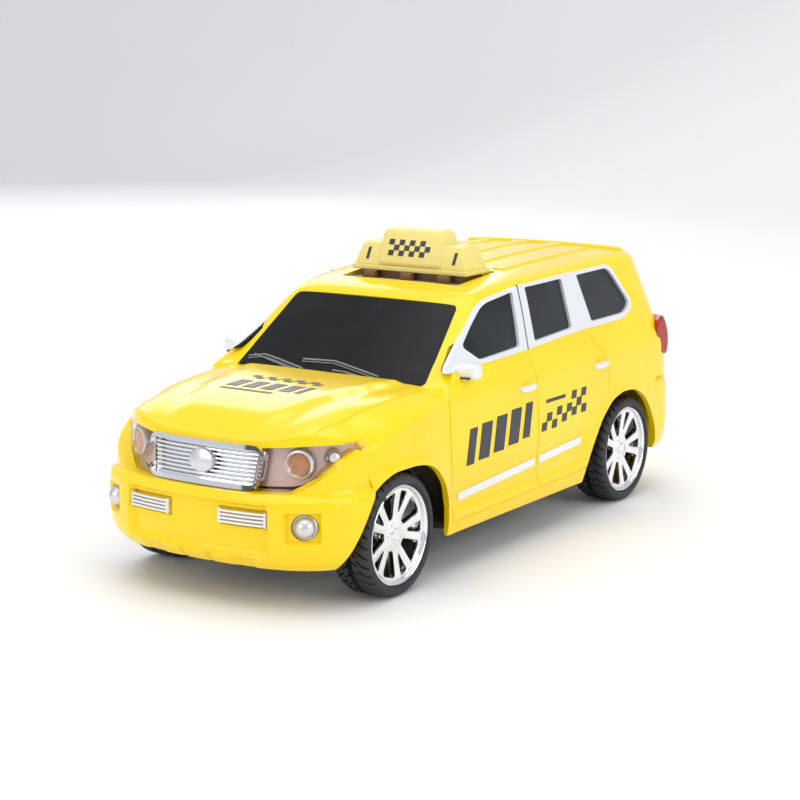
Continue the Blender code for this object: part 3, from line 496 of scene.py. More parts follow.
sweep = bmesh.new()
bmesh.ops.create_grid(sweep, x_segments=2, y_segments=60, size=1)
for corner in sweep.verts:
    corner.co.x *= PAPER_HALF_WIDTH
    corner.co.y = PAPER_FRONT_Y + (corner.co.y + 1) * PAPER_HALF_LENGTH
    corner.co.z = PAPER_CURVE * max(0, corner.co.y - PAPER_BEND_Y) ** 2
PAPER = finish("paper", (0.93, 0.93, 0.93), (0.91, 0.91, 0.91), (0.8, 0.9), tone=3, bump=0.02)
stage_piece(sweep, "paper", PAPER).data.shade_smooth()

# %% [markdown]
# One wide lamp above and three round the toy give soft light with gentle shade on the side that
# is turned away, and a pale surround fills the rest.

# %% The lights
WORLD_STRENGTH = 0.7


def soft_light(name, place, size, power):
    """A wide lamp that looks at the middle of the toy."""
    data = bpy.data.lights.new(name, "AREA")
    data.shape = "RECTANGLE"
    data.size, data.size_y = size
    data.energy = power
    lamp = bpy.data.objects.new(name, data)
    lamp.location = place
    lamp.rotation_mode = "QUATERNION"
    lamp.rotation_quaternion = (Vector(MIDDLE) - Vector(place)).to_track_quat("-Z", "Y")
    bpy.context.scene.collection.objects.link(lamp)


MIDDLE = (0, 0, 0.05)
soft_light("top", (0, -0.1, 1.1), (1.2, 1.4), 6)
soft_light("left", (1.1, 0.05, 0.45), (1, 0.7), 4.5)
soft_light("front", (-0.35, -1.1, 0.5), (0.9, 0.6), 2.5)
soft_light("back", (-0.9, 0.9, 0.7), (0.8, 0.6), 3)
world = bpy.data.worlds.new("studio")
world.use_nodes = True
world.node_tree.nodes["Background"].inputs["Color"].default_value = (0.95, 0.97, 1, 1)
world.node_tree.nodes["Background"].inputs["Strength"].default_value = WORLD_STRENGTH
bpy.context.scene.world = world
bpy.context.scene.view_settings.view_transform = "Standard"

# %% [markdown]
# Chrome only looks like chrome when it has something dark to reflect. A few black cards stand
# round the table, hidden from the camera, and draw the dark streaks in the plated wheels.

# %% Black cards
CARD_HALF_THICKNESS = 0.002
CARD = finish("black card", (0.02, 0.02, 0.02), (0.03, 0.03, 0.03), (0.8, 0.9))
for number, (x, y, z, width, height, turn) in enumerate((
        (0.85, -0.52, 0.10, 0.10, 0.34, 60), (0.95, -0.12, 0.08, 0.07, 0.30, 85),
        (0.90, 0.36, 0.10, 0.12, 0.34, 110), (-0.20, -1, 0.05, 0.30, 0.06, 0),
        (-0.95, -0.30, 0.12, 0.16, 0.30, 90))):
    card = block((-width / 2, -CARD_HALF_THICKNESS, -height / 2),
                 (width / 2, CARD_HALF_THICKNESS, height / 2))
    bmesh.ops.transform(card, verts=card.verts,
                        matrix=at(x, y, z + height / 2, Matrix.Rotation(math.radians(turn), 4, "Z")))
    stage_piece(card, f"card_{number}", CARD).visible_camera = False
print(number + 1, "cards")

# %% [markdown]
# ## The body's form
# The real body is one glossy moulding whose surfaces flow into each other. It is described
# here by a few smooth curves: the line over its middle, its sides from sill to roof, its plan
# at the nose and tail. Each point of a finely cut cube is then moved onto that form, which
# keeps the mesh even and lets windows, trims and printing follow exactly the same surface.

# %% Curves of the body
SCREEN_FOOT_Y, SCREEN_FOOT_Z = -47.5, 60.4
SCREEN_TOP_Y, SCREEN_TOP_Z = -18, 83.6
SCREEN_SLOPE = (SCREEN_TOP_Z - SCREEN_FOOT_Z) / (SCREEN_TOP_Y - SCREEN_FOOT_Y)
SCREEN_BOW = 1.2                  # how far the screen's ends lie behind its middle
SIDE_FRONT_Y = -88              # where the sides turn into the nose
SIDE_REAR_Y = 108               # and into the tail
SILL_Z = 13.5
BELT_Z = 57

bonnet_line = curve_through([(-112, 49.2), (-109.5, 51), (-107, 52.4), (-101, 54.8), (-94, 56.8),
                             (-86, 58.3), (-76, 59.5), (-62, 60.2), (-47.5, 60.4)])
roof_line = curve_through([(-18, 83.6), (-13.5, 85.3), (-8, 86.4), (0, 87.5), (15, 88.7), (35, 89.7),
                           (60, 90.5), (90, 91), (100, 90.8)])
corner_line = curve_through([(-88, 46.6), (-82, 50), (-70, 53.6), (-58, 56), (-47.5, 57.4)])
section = curve_through([(13.5, 46.9), (17, 47.7), (22, 48.2), (35, 48.5), (50, 48.2), (56, 47.8),
                         (59, 47.1), (61.5, 45.7), (64, 44.9), (88.2, 37.9)])
plan_front = curve_through([(-88, -2.4), (-83, -1.3), (-75, -0.5), (-62, 0)])
plan_rear = curve_through([(62, 0), (96, 0), (104, -0.4), (108, -1.2)])
nose = curve_through([(0, -112), (10, -111.7), (20, -110.5), (30, -107), (38, -101),
                      (42.6, -95.8), (45.1, -91), (46.1, -88)])
tail_lean = curve_through([(13, 110.5), (43, 110.2), (58, 109.2), (66, 107), (86.6, 100.8),
                           (92, 99)])
tail_turn = curve_through([(0, 0), (0.45, -0.2), (0.7, -0.6), (0.82, -1), (0.9, -1.5),
                           (0.96, -2.4), (1, -3.4)])
curve_fall = curve_through([(0, 1), (12, 0.45), (24, 0.12), (36, 0), (400, 0)])
NOSE_LEAN = 0.15                  # how far the nose falls back for each millimetre of height
FRONT_ARCH = [(-103.6, 9), (-102, 14), (-94, 27), (-88, 35), (-84, 38),
              (-79, 39.8), (-68, 40), (-61, 38.8), (-56, 36), (-52, 31),
              (-50, 26), (-49, 13), (-49, 9)]
REAR_ARCH = [(40, 9), (41, 16), (46, 25), (53, 34.5), (61, 40.2), (69, 42),
             (78, 41.5), (85, 38.5), (90, 33.8), (94, 28), (97, 22), (99.5, 14),
             (99.5, 9)]


PLAN_BEND_Y = 62                  # from here the plan narrows to both ends
FLARE_WIDTH = 2.6                 # how far an arch's lip spreads over the side
FRONT_FLARE, REAR_FLARE = 0.7, 0.6


def distance_to(line, y, z):
    """The shortest way from a place on the side to an open line."""
    best = 1e9
    for (ya, za), (yb, zb) in zip(line, line[1:]):
        run, rise = yb - ya, zb - za
        t = min(1, max(0, ((y - ya) * run + (z - za) * rise) / (run * run + rise * rise)))
        best = min(best, math.hypot(y - ya - t * run, z - za - t * rise))
    return best


def middle_line(y):
    """The height of the body over its middle."""
    if y < SCREEN_FOOT_Y:
        return bonnet_line(y)
    if y < SCREEN_TOP_Y:
        return SCREEN_FOOT_Z + (y - SCREEN_FOOT_Y) * SCREEN_SLOPE
    return roof_line(y)


def corner_height(y):
    """The height at which the top turns into the side."""
    if y < SCREEN_FOOT_Y:
        return corner_line(y)
    low = SCREEN_FOOT_Z - 1.4 + (y - SCREEN_FOOT_Y) * SCREEN_SLOPE
    if y < SCREEN_TOP_Y:
        return low
    return roof_line(y) - 1.4 - 1.3 * ease(SCREEN_TOP_Y, 4, y)


def side_x(y, z):
    """Half the width of the body at a place on its side."""
    x = section(z)
    if y < -PLAN_BEND_Y:
        x += plan_front(max(y, SIDE_FRONT_Y))
    if y > PLAN_BEND_Y:
        x += plan_rear(min(y, SIDE_REAR_Y))
    if z > 62:
        # the cabin narrows towards the windscreen, along a line that leans with its pillar
        behind = y + 46 - 1.26 * (z - 60)
        x -= (2.4 + 0.09 * (z - 64)) * curve_fall(max(0, behind)) * ease(62, 66, z)
    x += FRONT_FLARE * math.exp(-(distance_to(FRONT_ARCH, y, z) / FLARE_WIDTH) ** 2)
    x += REAR_FLARE * math.exp(-(distance_to(REAR_ARCH, y, z) / FLARE_WIDTH) ** 2)
    if -50 < y < 50:
        # between the arches the sill steps out and the doors are hollow above the strip
        door = ease(-50, -46, y) * (1 - ease(36, 44, y))
        sill = 1 - ease(20.2, 21.2, z)
        hollow = ease(21.5, 22.5, z) * (1 - ease(30.5 + 0.045 * y, 33.5 + 0.045 * y, z))
        x += door * (0.9 * sill - 0.7 * hollow)
    return x


def crown(part, y):
    """How much of the drop to the corner is reached at a part of the half-width."""
    over_bonnet = max(0, (part - 0.58) / 0.42) ** 2.7
    over_roof = 0.30 * part ** 2 + 0.70 * part ** 14
    over_screen = part ** 10
    if y < SCREEN_FOOT_Y:
        return over_bonnet
    t = ease(SCREEN_TOP_Y - 1, SCREEN_TOP_Y + 10, y)
    return over_screen * (1 - t) + over_roof * t


def bonnet_relief(x, y):
    """The bonnet's raised middle, between two creases that spread towards the screen."""
    crease = 17.5 + (y + 104) * 0.235
    swell = 1 - ease(crease - 0.8, crease + 1.4, abs(x))
    return 1.3 * swell * ease(-106, -98, y) * (1 - ease(-50, -48, y))


def top_z(x, y):
    """The height of the bonnet, the screen or the roof."""
    bowed = y - SCREEN_BOW * (x / 38) ** 2 if SCREEN_FOOT_Y - 3 < y < SCREEN_TOP_Y + 3 else y
    station = max(y, SIDE_FRONT_Y)
    corner_z = corner_height(station)
    part = min(1, abs(x) / side_x(station, corner_z))
    middle = middle_line(bowed)
    z = middle - (middle_line(station) - corner_z) * crown(part, y)
    if y < SCREEN_FOOT_Y:
        z += bonnet_relief(x, y)
    return z


def nose_y(x, z):
    """How far back the nose lies, in front view."""
    return nose(min(abs(x), 46.1)) + NOSE_LEAN * (z - 37)


def tail_y(part, z):
    """How far back the tail lies at a part of the half-width."""
    return tail_lean(z) + tail_turn(min(abs(part), 1))


print("width at the belt:", round(2 * side_x(0, BELT_Z), 1), "mm")

# %% [markdown]
# The cube is sliced where the body bends most: at its corners, at both edges of the windscreen
# and up the sides. A point keeps its place in the cube as its address on the body, so the mesh
# never folds over itself, which a form lofted freely through sections can do.

# %% From a cube to the body
ACROSS = [i * 0.06 for i in range(10)] + [0.6, 0.65, 0.7, 0.74, 0.78, 0.82, 0.86, 0.895, 0.925,
                                          0.95, 0.97, 0.985]
LOW_ROWS = 30
HIGH_ROWS = 24
LOW_PART = 0.6                    # the part of the cube's height that lies under the belt


def make_stations():
    """The places along the car where the cube is sliced."""
    stations = steps_between(SIDE_FRONT_Y, SCREEN_FOOT_Y - 0.5, 1.7)
    stations += [SCREEN_FOOT_Y - 0.5, SCREEN_FOOT_Y, SCREEN_FOOT_Y + 0.5]
    stations += steps_between(SCREEN_FOOT_Y + 0.5, SCREEN_TOP_Y - 0.5, 1.6)
    stations += [SCREEN_TOP_Y - 0.5, SCREEN_TOP_Y + 0.5]
    stations += steps_between(SCREEN_TOP_Y + 0.5, 105, 1.9)
    return stations + [105, 106.4, 107.4]


def body_point(across, y, up):
    """Moves a point of the cube (-1..1, front..back, 0..1) onto the body."""
    part = abs(across)
    side = math.copysign(1, across)
    rear = ease(60, SIDE_REAR_Y, y)
    corner_z = corner_height(y)

    def side_height(share, corner):
        belt = min(BELT_Z, corner - 1.5)
        if share <= LOW_PART:
            return SILL_Z + (belt - SILL_Z) * share / LOW_PART
        return belt + (corner - belt) * (share - LOW_PART) / (1 - LOW_PART)

    z = side_height(up, corner_z)
    half_width = side_x(y, z)
    shape = (nose(46.1 * part) - nose(46.1)) / (nose(0) - nose(46.1))
    front = 1 - ease(SIDE_FRONT_Y, SCREEN_FOOT_Y - 6, y)
    x = part * half_width
    if up >= 1:
        base_y = y + (nose_y(0, 50.5) - SIDE_FRONT_Y - 1.4) * shape * front
        base_y += 1.4 * front * (1 - ease(SIDE_FRONT_Y, -70, y))
        z = top_z(x, base_y)
    else:
        if y <= SIDE_FRONT_Y and part < 1:
            top = top_z(x, nose_y(x, 50.5) + 1.2)
            z = side_height(up, corner_z) + (top - corner_z) * up ** 3
            base_y = nose_y(x, z)
        else:
            base_y = y
            if y < -60:
                base_y += NOSE_LEAN * (z - 37) * (1 - ease(SIDE_FRONT_Y, -66, y))
            if y >= SIDE_REAR_Y and part < 1:
                z = z + (top_z(x, y) - corner_z) * up ** 3
    base_y += (tail_y(part, z) - SIDE_REAR_Y) * rear
    return side * x, base_y, z


def fine_cube(stations, low_rows, high_rows, across):
    """A cube over -1..1, -1..1 and 0..1, sliced so that it can take the body's form."""
    cube = bmesh.new()
    bmesh.ops.create_cube(cube, size=2)
    bmesh.ops.translate(cube, vec=(0, 0, 1), verts=cube.verts)
    bmesh.ops.scale(cube, vec=(1, 1, 0.5), verts=cube.verts)
    lattice(cube, 0, [0] + [side * cut for cut in across for side in (-1, 1)])
    lattice(cube, 1, [2 * (y - SIDE_FRONT_Y) / SIDE_SPAN - 1 for y in stations])
    rows = steps_between(0, LOW_PART, LOW_PART / low_rows) + [LOW_PART]
    rows += steps_between(LOW_PART, 1, (1 - LOW_PART) / high_rows)
    return lattice(cube, 2, rows)


def take_form(cube):
    """Moves a sliced cube onto the body and gives back the points on its upper edges."""
    edge_points = []
    for corner in cube.verts:
        across, along, up = corner.co
        up = 1 if up > 0.9999 else up
        faces_met = (abs(across) > 0.999) + (abs(along) > 0.999) + (up == 1)
        if faces_met > 1 and up > 0.001:
            edge_points.append(corner)
        corner.co = body_point(across, SIDE_FRONT_Y + (along + 1) / 2 * SIDE_SPAN, up)
    return edge_points


SIDE_SPAN = SIDE_REAR_Y - SIDE_FRONT_Y
work = fine_cube(make_stations(), LOW_ROWS, HIGH_ROWS, ACROSS[1:])
near = set(take_form(work))
print("body grid:", len(work.faces), "faces,", len(near), "points on its edges")

# %% [markdown]
# A moulding has no sharp outer edges, so the points near the edges are relaxed. The inside is the
# same form, coarser and a wall's thickness smaller, and it is cut out of the solid.

# %% Rounding the body's edges and hollowing it
WALL = 1.6
HALF_WIDTH, HALF_LENGTH = 46, 100     # the sizes that the wall is taken from
EDGE_RINGS = 2
SMOOTH_TURNS = 4
FLOOR_CUT = 8                         # the inside reaches this far below the sill
for ring in range(EDGE_RINGS):
    near |= {edge.other_vert(corner) for corner in list(near) for edge in corner.link_edges}
for turn in range(SMOOTH_TURNS):
    bmesh.ops.smooth_vert(work, verts=list(near), factor=0.5, use_axis_x=True, use_axis_y=True,
                          use_axis_z=True)
bmesh.ops.recalc_face_normals(work, faces=work.faces)
coarse = [y for y in make_stations()[::4] if abs(y - SCREEN_FOOT_Y) > 1] + [SCREEN_FOOT_Y]
inside = fine_cube(coarse, 6, 6, ACROSS[1::3])
take_form(inside)
bmesh.ops.scale(inside, vec=(1 - WALL / HALF_WIDTH, 1 - WALL / HALF_LENGTH, 1), verts=inside.verts)
for corner in inside.verts:
    corner.co.z -= WALL * 1.2 if corner.co.z > SILL_Z + 1 else FLOOR_CUT
bmesh.ops.recalc_face_normals(inside, faces=inside.faces)
work = cut_away(work, inside)
print("hollow body:", round(work.calc_volume(signed=True) * MM, 1), "cubic centimetres of plastic")

# %% [markdown]
# ## Openings
# Wheel arches, windows, the nose and the bumpers' places are cut through the wall with closed
# tools, each a plain outline pushed through the body, so the outlines stay easy to read.

# %% Outlines on the side
TRIM = [(-44.4, 64), (2.3, 65.3), (41.2, 67), (78, 67.4), (86.8, 71.2), (75.2, 87.2),
        (39, 86.9), (8.6, 85.9), (-13.4, 83.2), (-30, 72.2)]
TRIM_CORNERS = [1.5, 3, 3, 4, 3.5, 4, 3, 3, 6, 5]
WINDOWS = [
    ([(-29.8, 70.6), (-23.4, 65.8), (1.2, 67), (5.4, 84.4), (-11.6, 82.1), (-20.8, 76.6)],
     [2, 1.5, 1, 1, 4, 3]),
    ([(11.6, 67.4), (38.3, 68.6), (38.6, 85.5), (13.2, 85.1)], [1, 1, 1, 1]),
    ([(53.1, 69), (78.2, 69.2), (84.3, 72), (73.6, 85.9), (49.4, 85.6)], [1, 3, 3, 3.5, 1])]


def grown(outline, distance):
    """Moves every corner of an outline outwards from its middle by about a distance."""
    middle = sum((Vector(point) for point in outline), Vector((0, 0))) / len(outline)
    result = []
    for point in outline:
        reach = Vector(point) - middle
        result.append(tuple(Vector(point) + reach.normalized() * distance))
    return result


SLOPE = math.atan(SCREEN_SLOPE)
SCREEN_FRAME = at(0, SCREEN_FOOT_Y, SCREEN_FOOT_Z, Matrix.Rotation(SLOPE, 4, "X"))
SCREEN_HALF = [(36.8, -0.3), (37.4, 1.2), (32.4, 34.2), (30.8, 36)]
REAR_FRAME = at(0, 107, 66, Matrix.Rotation(math.radians(-73), 4, "X")
                @ Matrix.Diagonal((1, -1, -1, 1)))
REAR_HALF = [(33.5, 2), (34.8, 4), (31, 18.6), (29, 20.2)]
NOSE_OPENING = [(21.5, 49.2), (33, 50.1), (43.4, 50.5), (44.9, 48.9), (38, 42.2), (30, 36.9),
                (20.5, 30)]

print("the windscreen slopes at", round(math.degrees(SLOPE), 1), "degrees")

# %% [markdown]
# Trim, glass and printing all lie on the same curved side. One function cuts such a plate out
# flat, slices it finely and moves every slice out to the side's own curve.

# %% Plates that follow the side
def draped_side(outline, low, high, holes=(), cell=2.2):
    """A plate over the left side, between two distances out from its surface."""
    plate = slab(outline, high - low, ALONG_X)
    for hole in holes:
        plate = cut_away(plate, slab(hole, high - low + 2, at(-1, 0, 0, ALONG_X)))
    for axis in (1, 2):
        values = [corner.co[axis] for corner in plate.verts]
        lattice(plate, axis, steps_between(min(values), max(values), cell))
    for corner in plate.verts:
        corner.co.x += side_x(corner.co.y, corner.co.z) + low
    return plate


# %% [markdown]
# The bumpers' places and the arches are cut straight across. The side windows are cut with a
# draped tool, so the cut doesn't reach the windscreen's pillars, which lean in over it.

# %% Cutting the body
for outline in ([(-130, 0), (-130, 36.3), (-106.2, 36.8), (-93.8, 48.1), (-92.3, 48.1),
                 (-88.3, 37), (-88.3, 0)],
                [(130, 0), (95.4, 0), (95.4, 41.2), (96.6, 43.1), (130, 43.1)]):
    work = cut_away(work, slab(outline, 120, at(-60, 0, 0, ALONG_X)))
ARCH_INNER_X, ARCH_DEPTH = 26, 34
for outline in (rounded(FRONT_ARCH, 3), rounded(REAR_ARCH, 3)):
    for start_x in (-ARCH_INNER_X - ARCH_DEPTH, ARCH_INNER_X):
        work = cut_away(work, slab(outline, ARCH_DEPTH, at(start_x, 0, 0, ALONG_X)))
window_tool = draped_side(rounded(grown(TRIM, -0.5), TRIM_CORNERS), -2.8, 6)
opposite_tool = mirror_of(window_tool)
work = cut_away(cut_away(work, window_tool), opposite_tool)
GLASS_CUT = 14
for half, place in ((SCREEN_HALF, SCREEN_FRAME), (REAR_HALF, REAR_FRAME)):
    middle_place = place @ Matrix.Translation((0, 0, -GLASS_CUT / 2))
    work = cut_away(work, slab(rounded(mirrored_outline(half), 1.5), GLASS_CUT, middle_place))
work = cut_away(work, slab(mirrored_outline(NOSE_OPENING), 34, at(0, -91.2, 0, ALONG_FRONT)))
RECESS_LOW, RECESS_HIGH = (-23.9, -5.4, 80), (23.9, 20.2, 98)
work = cut_away(work, block(RECESS_LOW, RECESS_HIGH, 1.2))
print("body with its openings:", len(work.faces), "faces")

# %% [markdown]
# The doors and the bonnet don't open: their gaps are fine grooves in the mould, cut here by thin
# round bars laid along the surface.

# %% Panel lines
SEAM_RADIUS = 0.45
SEAM_OUT = 0.05                   # how far the bar's middle lies outside the surface
SEAM_STEP = 1.5


def stepped(line):
    """Adds points to a line, so that it can follow a curved surface."""
    points = []
    for (across_a, up_a), (across_b, up_b) in zip(line, line[1:]):
        run, rise = across_b - across_a, up_b - up_a
        count = max(1, int(math.hypot(run, rise) / SEAM_STEP))
        points += [(across_a + run * i / count, up_a + rise * i / count) for i in range(count)]
    return points + [line[-1]]


SIDE_SEAMS = [
    [(-47.6, 63), (-48.6, 58), (-48.2, 44), (-47.4, 30), (-47.2, 18)],
    [(5.4, 64.6), (6.6, 56), (7.4, 42), (7.6, 24), (7.6, 18)],
    [(49, 65.4), (55.2, 58.5), (58.2, 53), (58.6, 44.6)],
    [(-47, 17.4), (42.2, 18.6)]]
BONNET_SEAM = [(34, -101), (36.2, -92), (37.6, -80), (38.6, -66), (39.6, -52.5)]
seam_paths = [[(side_x(y, z) + SEAM_OUT, y, z) for y, z in stepped(line)] for line in SIDE_SEAMS]
seam_paths.append([(x, y, top_z(x, y) + SEAM_OUT) for x, y in stepped(BONNET_SEAM)])
for path in seam_paths:
    groove = tube(path, SEAM_RADIUS)
    other_groove = mirror_of(groove)
    work = cut_away(cut_away(work, groove), other_groove)

piece(work, "body", YELLOW, replaces=["body_shell"], sharp=math.radians(26))

# %% [markdown]
# ## Glass and bright trim
# Each side has one silver frame round three dark panes. The frame and the panes are flat plates
# cut into small cells and then draped over the body's side, so they follow its lean and curve.

# %% Window frames and panes
def both_sides(work, stem, material, replaces=None, sharp=SMOOTH_ANGLE):
    """Makes a piece for the left side and its twin for the right."""
    other = mirror_of(work)
    for form, hand in ((work, "left"), (other, "right")):
        nodes = [f"{node}_{hand}" for node in replaces or ()]
        piece(form, f"{stem}_{hand}", material, replaces=nodes, sharp=sharp)


window_holes = [rounded(outline, corners) for outline, corners in WINDOWS]
frame_plate = draped_side(rounded(TRIM, TRIM_CORNERS), -1, 0.3, window_holes)
both_sides(frame_plate, "window_frame", SILVER, ["window_trim"])
both_sides(draped_side(rounded(grown(TRIM, -1.2), TRIM_CORNERS), -1.9, -0.75), "window_panes",
           GLASS_SIDE, ["side_glass"])

DOOR_GAP = [(5.9, 65.4), (6.4, 65.4), (9.5, 86.3), (9, 86.3)]
both_sides(draped_side(DOOR_GAP, 0, 0.36), "door_gap", BLACK)

# %% [markdown]
# The windscreen is one dark moulding, slightly bowed, and its wipers are raised lines on it.
# The rear glass is a plain panel that leans with the tail.

# %% Windscreen, rear glass and wipers
PANE = 1.2
def on_screen(across, up, out=0):
    """A place on the windscreen, given across, up its slope and out from it."""
    place = SCREEN_FRAME @ Vector((across, up, out))
    return Vector((place.x, place.y + SCREEN_BOW * (across / 38) ** 2, place.z))


screen = slab(rounded(mirrored_outline(grown(SCREEN_HALF, -0.25)), 1.5), PANE, ALONG_Z)
lattice(lattice(screen, 0, steps_between(-38, 38, 2.5)), 1, steps_between(-1, 36, 2.5))
for corner in screen.verts:
    corner.co = on_screen(corner.co.x, corner.co.y, corner.co.z - PANE - 0.25)
piece(screen, "windscreen_panel", GLASS_BLACK, replaces=["windscreen"])
wipers = []
for blade, arm in (([(-34.5, 3.5), (-28.4, 5), (-21.7, 3.7), (-10.2, 1)],
                    [(-32.6, 4.7), (-19.3, 1.5), (-11, -0.6)]),
                   ([(-12.2, 5.1), (0.3, 5.7), (6.8, 4.3), (19.7, 1.2)],
                    [(1.5, 1.8), (6.4, 1.6), (19, -0.6)])):
    wipers.append(tube([on_screen(x, up, 0.15) for x, up in blade], 0.34))
    wipers.append(tube([on_screen(x, up - 0.9, -0.05) for x, up in blade], 0.22))
    wipers.append(tube([on_screen(x, up, 0.1) for x, up in arm], 0.30))
piece(joined(*wipers), "wipers", WIPER)

rear_glass = slab(rounded(mirrored_outline(grown(REAR_HALF, -0.25)), 1.5), PANE,
                  REAR_FRAME @ Matrix.Translation((0, 0, -PANE - 0.1)))
piece(soften(rear_glass, 0.2, 2), "tailgate_glass", GLASS_BLACK, replaces=["rear_glass"])

# %% [markdown]
# ## Bumpers
# A bumper is a strip wrapped round a corner. It is cut out flat, as if unrolled: along its
# length and up its height. The pockets and steps are pressed into the flat strip, and then it is
# bent round the plan of the car.

# %% Wrapping a strip round a plan
def wrap(plan):
    """Gives the place and the outward direction at a length along half a plan line."""
    lengths = [0]
    for before, after in zip(plan, plan[1:]):
        lengths.append(lengths[-1] + math.dist(before, after))
    across = curve_through([(length, point[0]) for length, point in zip(lengths, plan)])
    along = curve_through([(length, point[1]) for length, point in zip(lengths, plan)])

    def place(length, out):
        side = math.copysign(1, length)
        reach = abs(length)
        step = 0.05
        x, y = across(reach), along(reach)
        run = Vector((across(reach + step) - across(max(0, reach - step)),
                      along(reach + step) - along(max(0, reach - step)))).normalized()
        outward = Vector((run.y, -run.x))
        if outward.dot(Vector((x, y * 0.4))) < 0:
            outward = -outward
        return side * (x + outward.x * out), y + outward.y * out

    return place


SKIN_CELL_LOW, SKIN_CELL_HIGH = 13.9, 48     # the heights between which a strip is sliced
FRONT_PLAN = [(0, -117.5), (10, -117.2), (20, -116.3), (30, -113.8), (37, -110.2),
              (42.4, -105.4), (45.8, -99.6), (47.6, -92.6), (48.4, -84)]
REAR_PLAN = [(0, 117.5), (20, 117.2), (32, 116.3), (40, 114.6), (45, 111.6), (47.6, 107),
             (48.4, 100), (48.5, 92)]
front_wrap = wrap(FRONT_PLAN)
rear_wrap = wrap(REAR_PLAN)
front_face = curve_through([(13.8, -3.6), (16, -1.7), (19, -0.5), (24, 0), (33, -0.1), (35.2, -0.6),
                            (36.4, -2.4), (42, -2.7), (48, -3.5), (50, -3.8)])
rear_face = curve_through([(15, -2.6), (19, -0.6), (26, 0), (38, -0.2), (41.4, -0.9), (43, -3)])
FOG_X, FOG_Z = 37.9, 27.2
FOG_TURN = math.radians(22)


def pocket(value, low, high, edge):
    """1 between low and high, easing to 0 outside them."""
    return ease(low - edge, low + edge, value) * (1 - ease(high - edge, high + edge, value))


def front_relief(length, z):
    """The hollow middle, the pockets for vents and lamps, the lip's notches and a small lid."""
    reach = abs(length)
    out = -2.1 * (1 - ease(25.4, 27.4, reach)) * ease(17.4, 18.8, z) * (1 - ease(32.6, 34, z))
    out -= 1.2 * pocket(reach, 9.4, 26.6, 0.3) * pocket(z, 26.3, 31.5, 0.3)
    out -= 1.5 * pocket(reach, FOG_X - 5.2, FOG_X + 5, 0.4) * pocket(z, 22.8, 31.4, 0.4)
    out -= 0.7 * pocket(reach, 4.4, 6, 0.3) * pocket(z, 13, 17, 0.4)
    out -= 0.7 * pocket(reach, 14, 21, 0.3) * pocket(z, 13, 16.6, 0.4)
    out += 0.45 * pocket(reach, 36.5, 40.5, 0.3) * pocket(z, 33.2, 35.4, 0.3)
    return out


def wrapped_strip(half, depth, placing, face, relief, cell=1.1, extra=()):
    """Cuts a strip out flat, presses its relief into the outer face and bends it round."""
    strip = slab(mirrored_outline(half), depth, ALONG_Z)
    longest = max(point[0] for point in half)
    lattice(strip, 0, steps_between(-longest, longest, cell))
    lattice(strip, 1, steps_between(SKIN_CELL_LOW, SKIN_CELL_HIGH, cell))
    for axis, cuts in extra:
        lattice(strip, axis, cuts)
    for corner in strip.verts:
        length, z, inside = corner.co
        shown = 1 - inside / depth
        out = face(z) + relief(length, z) * shown - inside
        x, y = placing(length, out)
        corner.co = (x, y, z)
    bmesh.ops.recalc_face_normals(strip, faces=strip.faces)
    return strip


# %% [markdown]
# The front bumper rises at its ends to the lamps. Its middle is set back, with a pocket for each
# vent, a square pocket and a round hole for each fog lamp, and notches in its lower lip.

# %% Front bumper
front_half = [(30, 13.6), (49.4, 13.4), (53.6, 19.6), (58.2, 26.8), (63.6, 35.4),
              (62.6, 40), (59.9, 48.3), (58.2, 48.8), (50.6, 45), (43.6, 41.2), (37.6, 38),
              (33, 36.7), (20, 36.3), (0, 36.2)]
BUMPER_DEPTH = 8
relief_cuts = [side * value for side in (-1, 1) for value in (9.1, 9.7, 26.3, 26.9, 32.3, 33.1, 42.5,
                                                               43.3, 4.1, 4.7, 5.7, 6.3)]
front_strip = wrapped_strip(front_half, BUMPER_DEPTH, front_wrap, front_face, front_relief,
                            extra=((0, relief_cuts), (1, [26, 26.6, 31.2, 31.8, 22.4, 23.2, 31])))
FOG_HOLE = [(0.01, -6), (4, -6), (4, 5), (0.01, 5)]


def fog_place(side):
    """Where a fog lamp sits in the bumper, with Z looking out of it."""
    x, y = front_wrap(side * FOG_X, 0)
    return at(x, y, FOG_Z, Matrix.Rotation(side * FOG_TURN, 4, "Z") @ Matrix.Rotation(math.pi / 2, 4, "X"))


for side in (-1, 1):
    front_strip = cut_away(front_strip, turned(FOG_HOLE, fog_place(side), 40))
piece(front_strip, "front_bumper_skin", YELLOW, replaces=["front_bumper"],
      sharp=math.radians(30))


# %% [markdown]
# The rear bumper is plainer: a smooth strip with a shallow plate for a number and a low lip. It is
# deep enough to close the gap under the tail.

# %% Rear bumper
REAR_DEPTH = 6.8


def rear_relief(length, z):
    """The shallow number plate and the lip under it."""
    reach = abs(length)
    out = -1 * (1 - ease(19, 20, reach)) * pocket(z, 25, 33, 0.4)
    return out + 0.8 * (1 - ease(21, 22, z)) * (1 - ease(40, 44, reach))


rear_half = [(40, 15), (58.6, 15.2), (61, 22), (62.8, 27), (62.8, 34), (62.8, 40.8),
             (62, 42.9), (30, 43)]
rear_strip = wrapped_strip(rear_half, REAR_DEPTH, rear_wrap, rear_face, rear_relief, 1.3,
                           extra=((0, [-20, -19, 19, 20]), (1, [24.6, 25.4, 32.6, 33.4])))
piece(rear_strip, "rear_bumper_skin", YELLOW, replaces=["rear_bumper"],
      sharp=math.radians(30))

# %% [markdown]
# ## The nose
# The grille is one plated insert with a frame and nine thin bars. Each headlight is a clear
# cover over a bowl with an amber cup in a silver ring and a plated ball beside it.

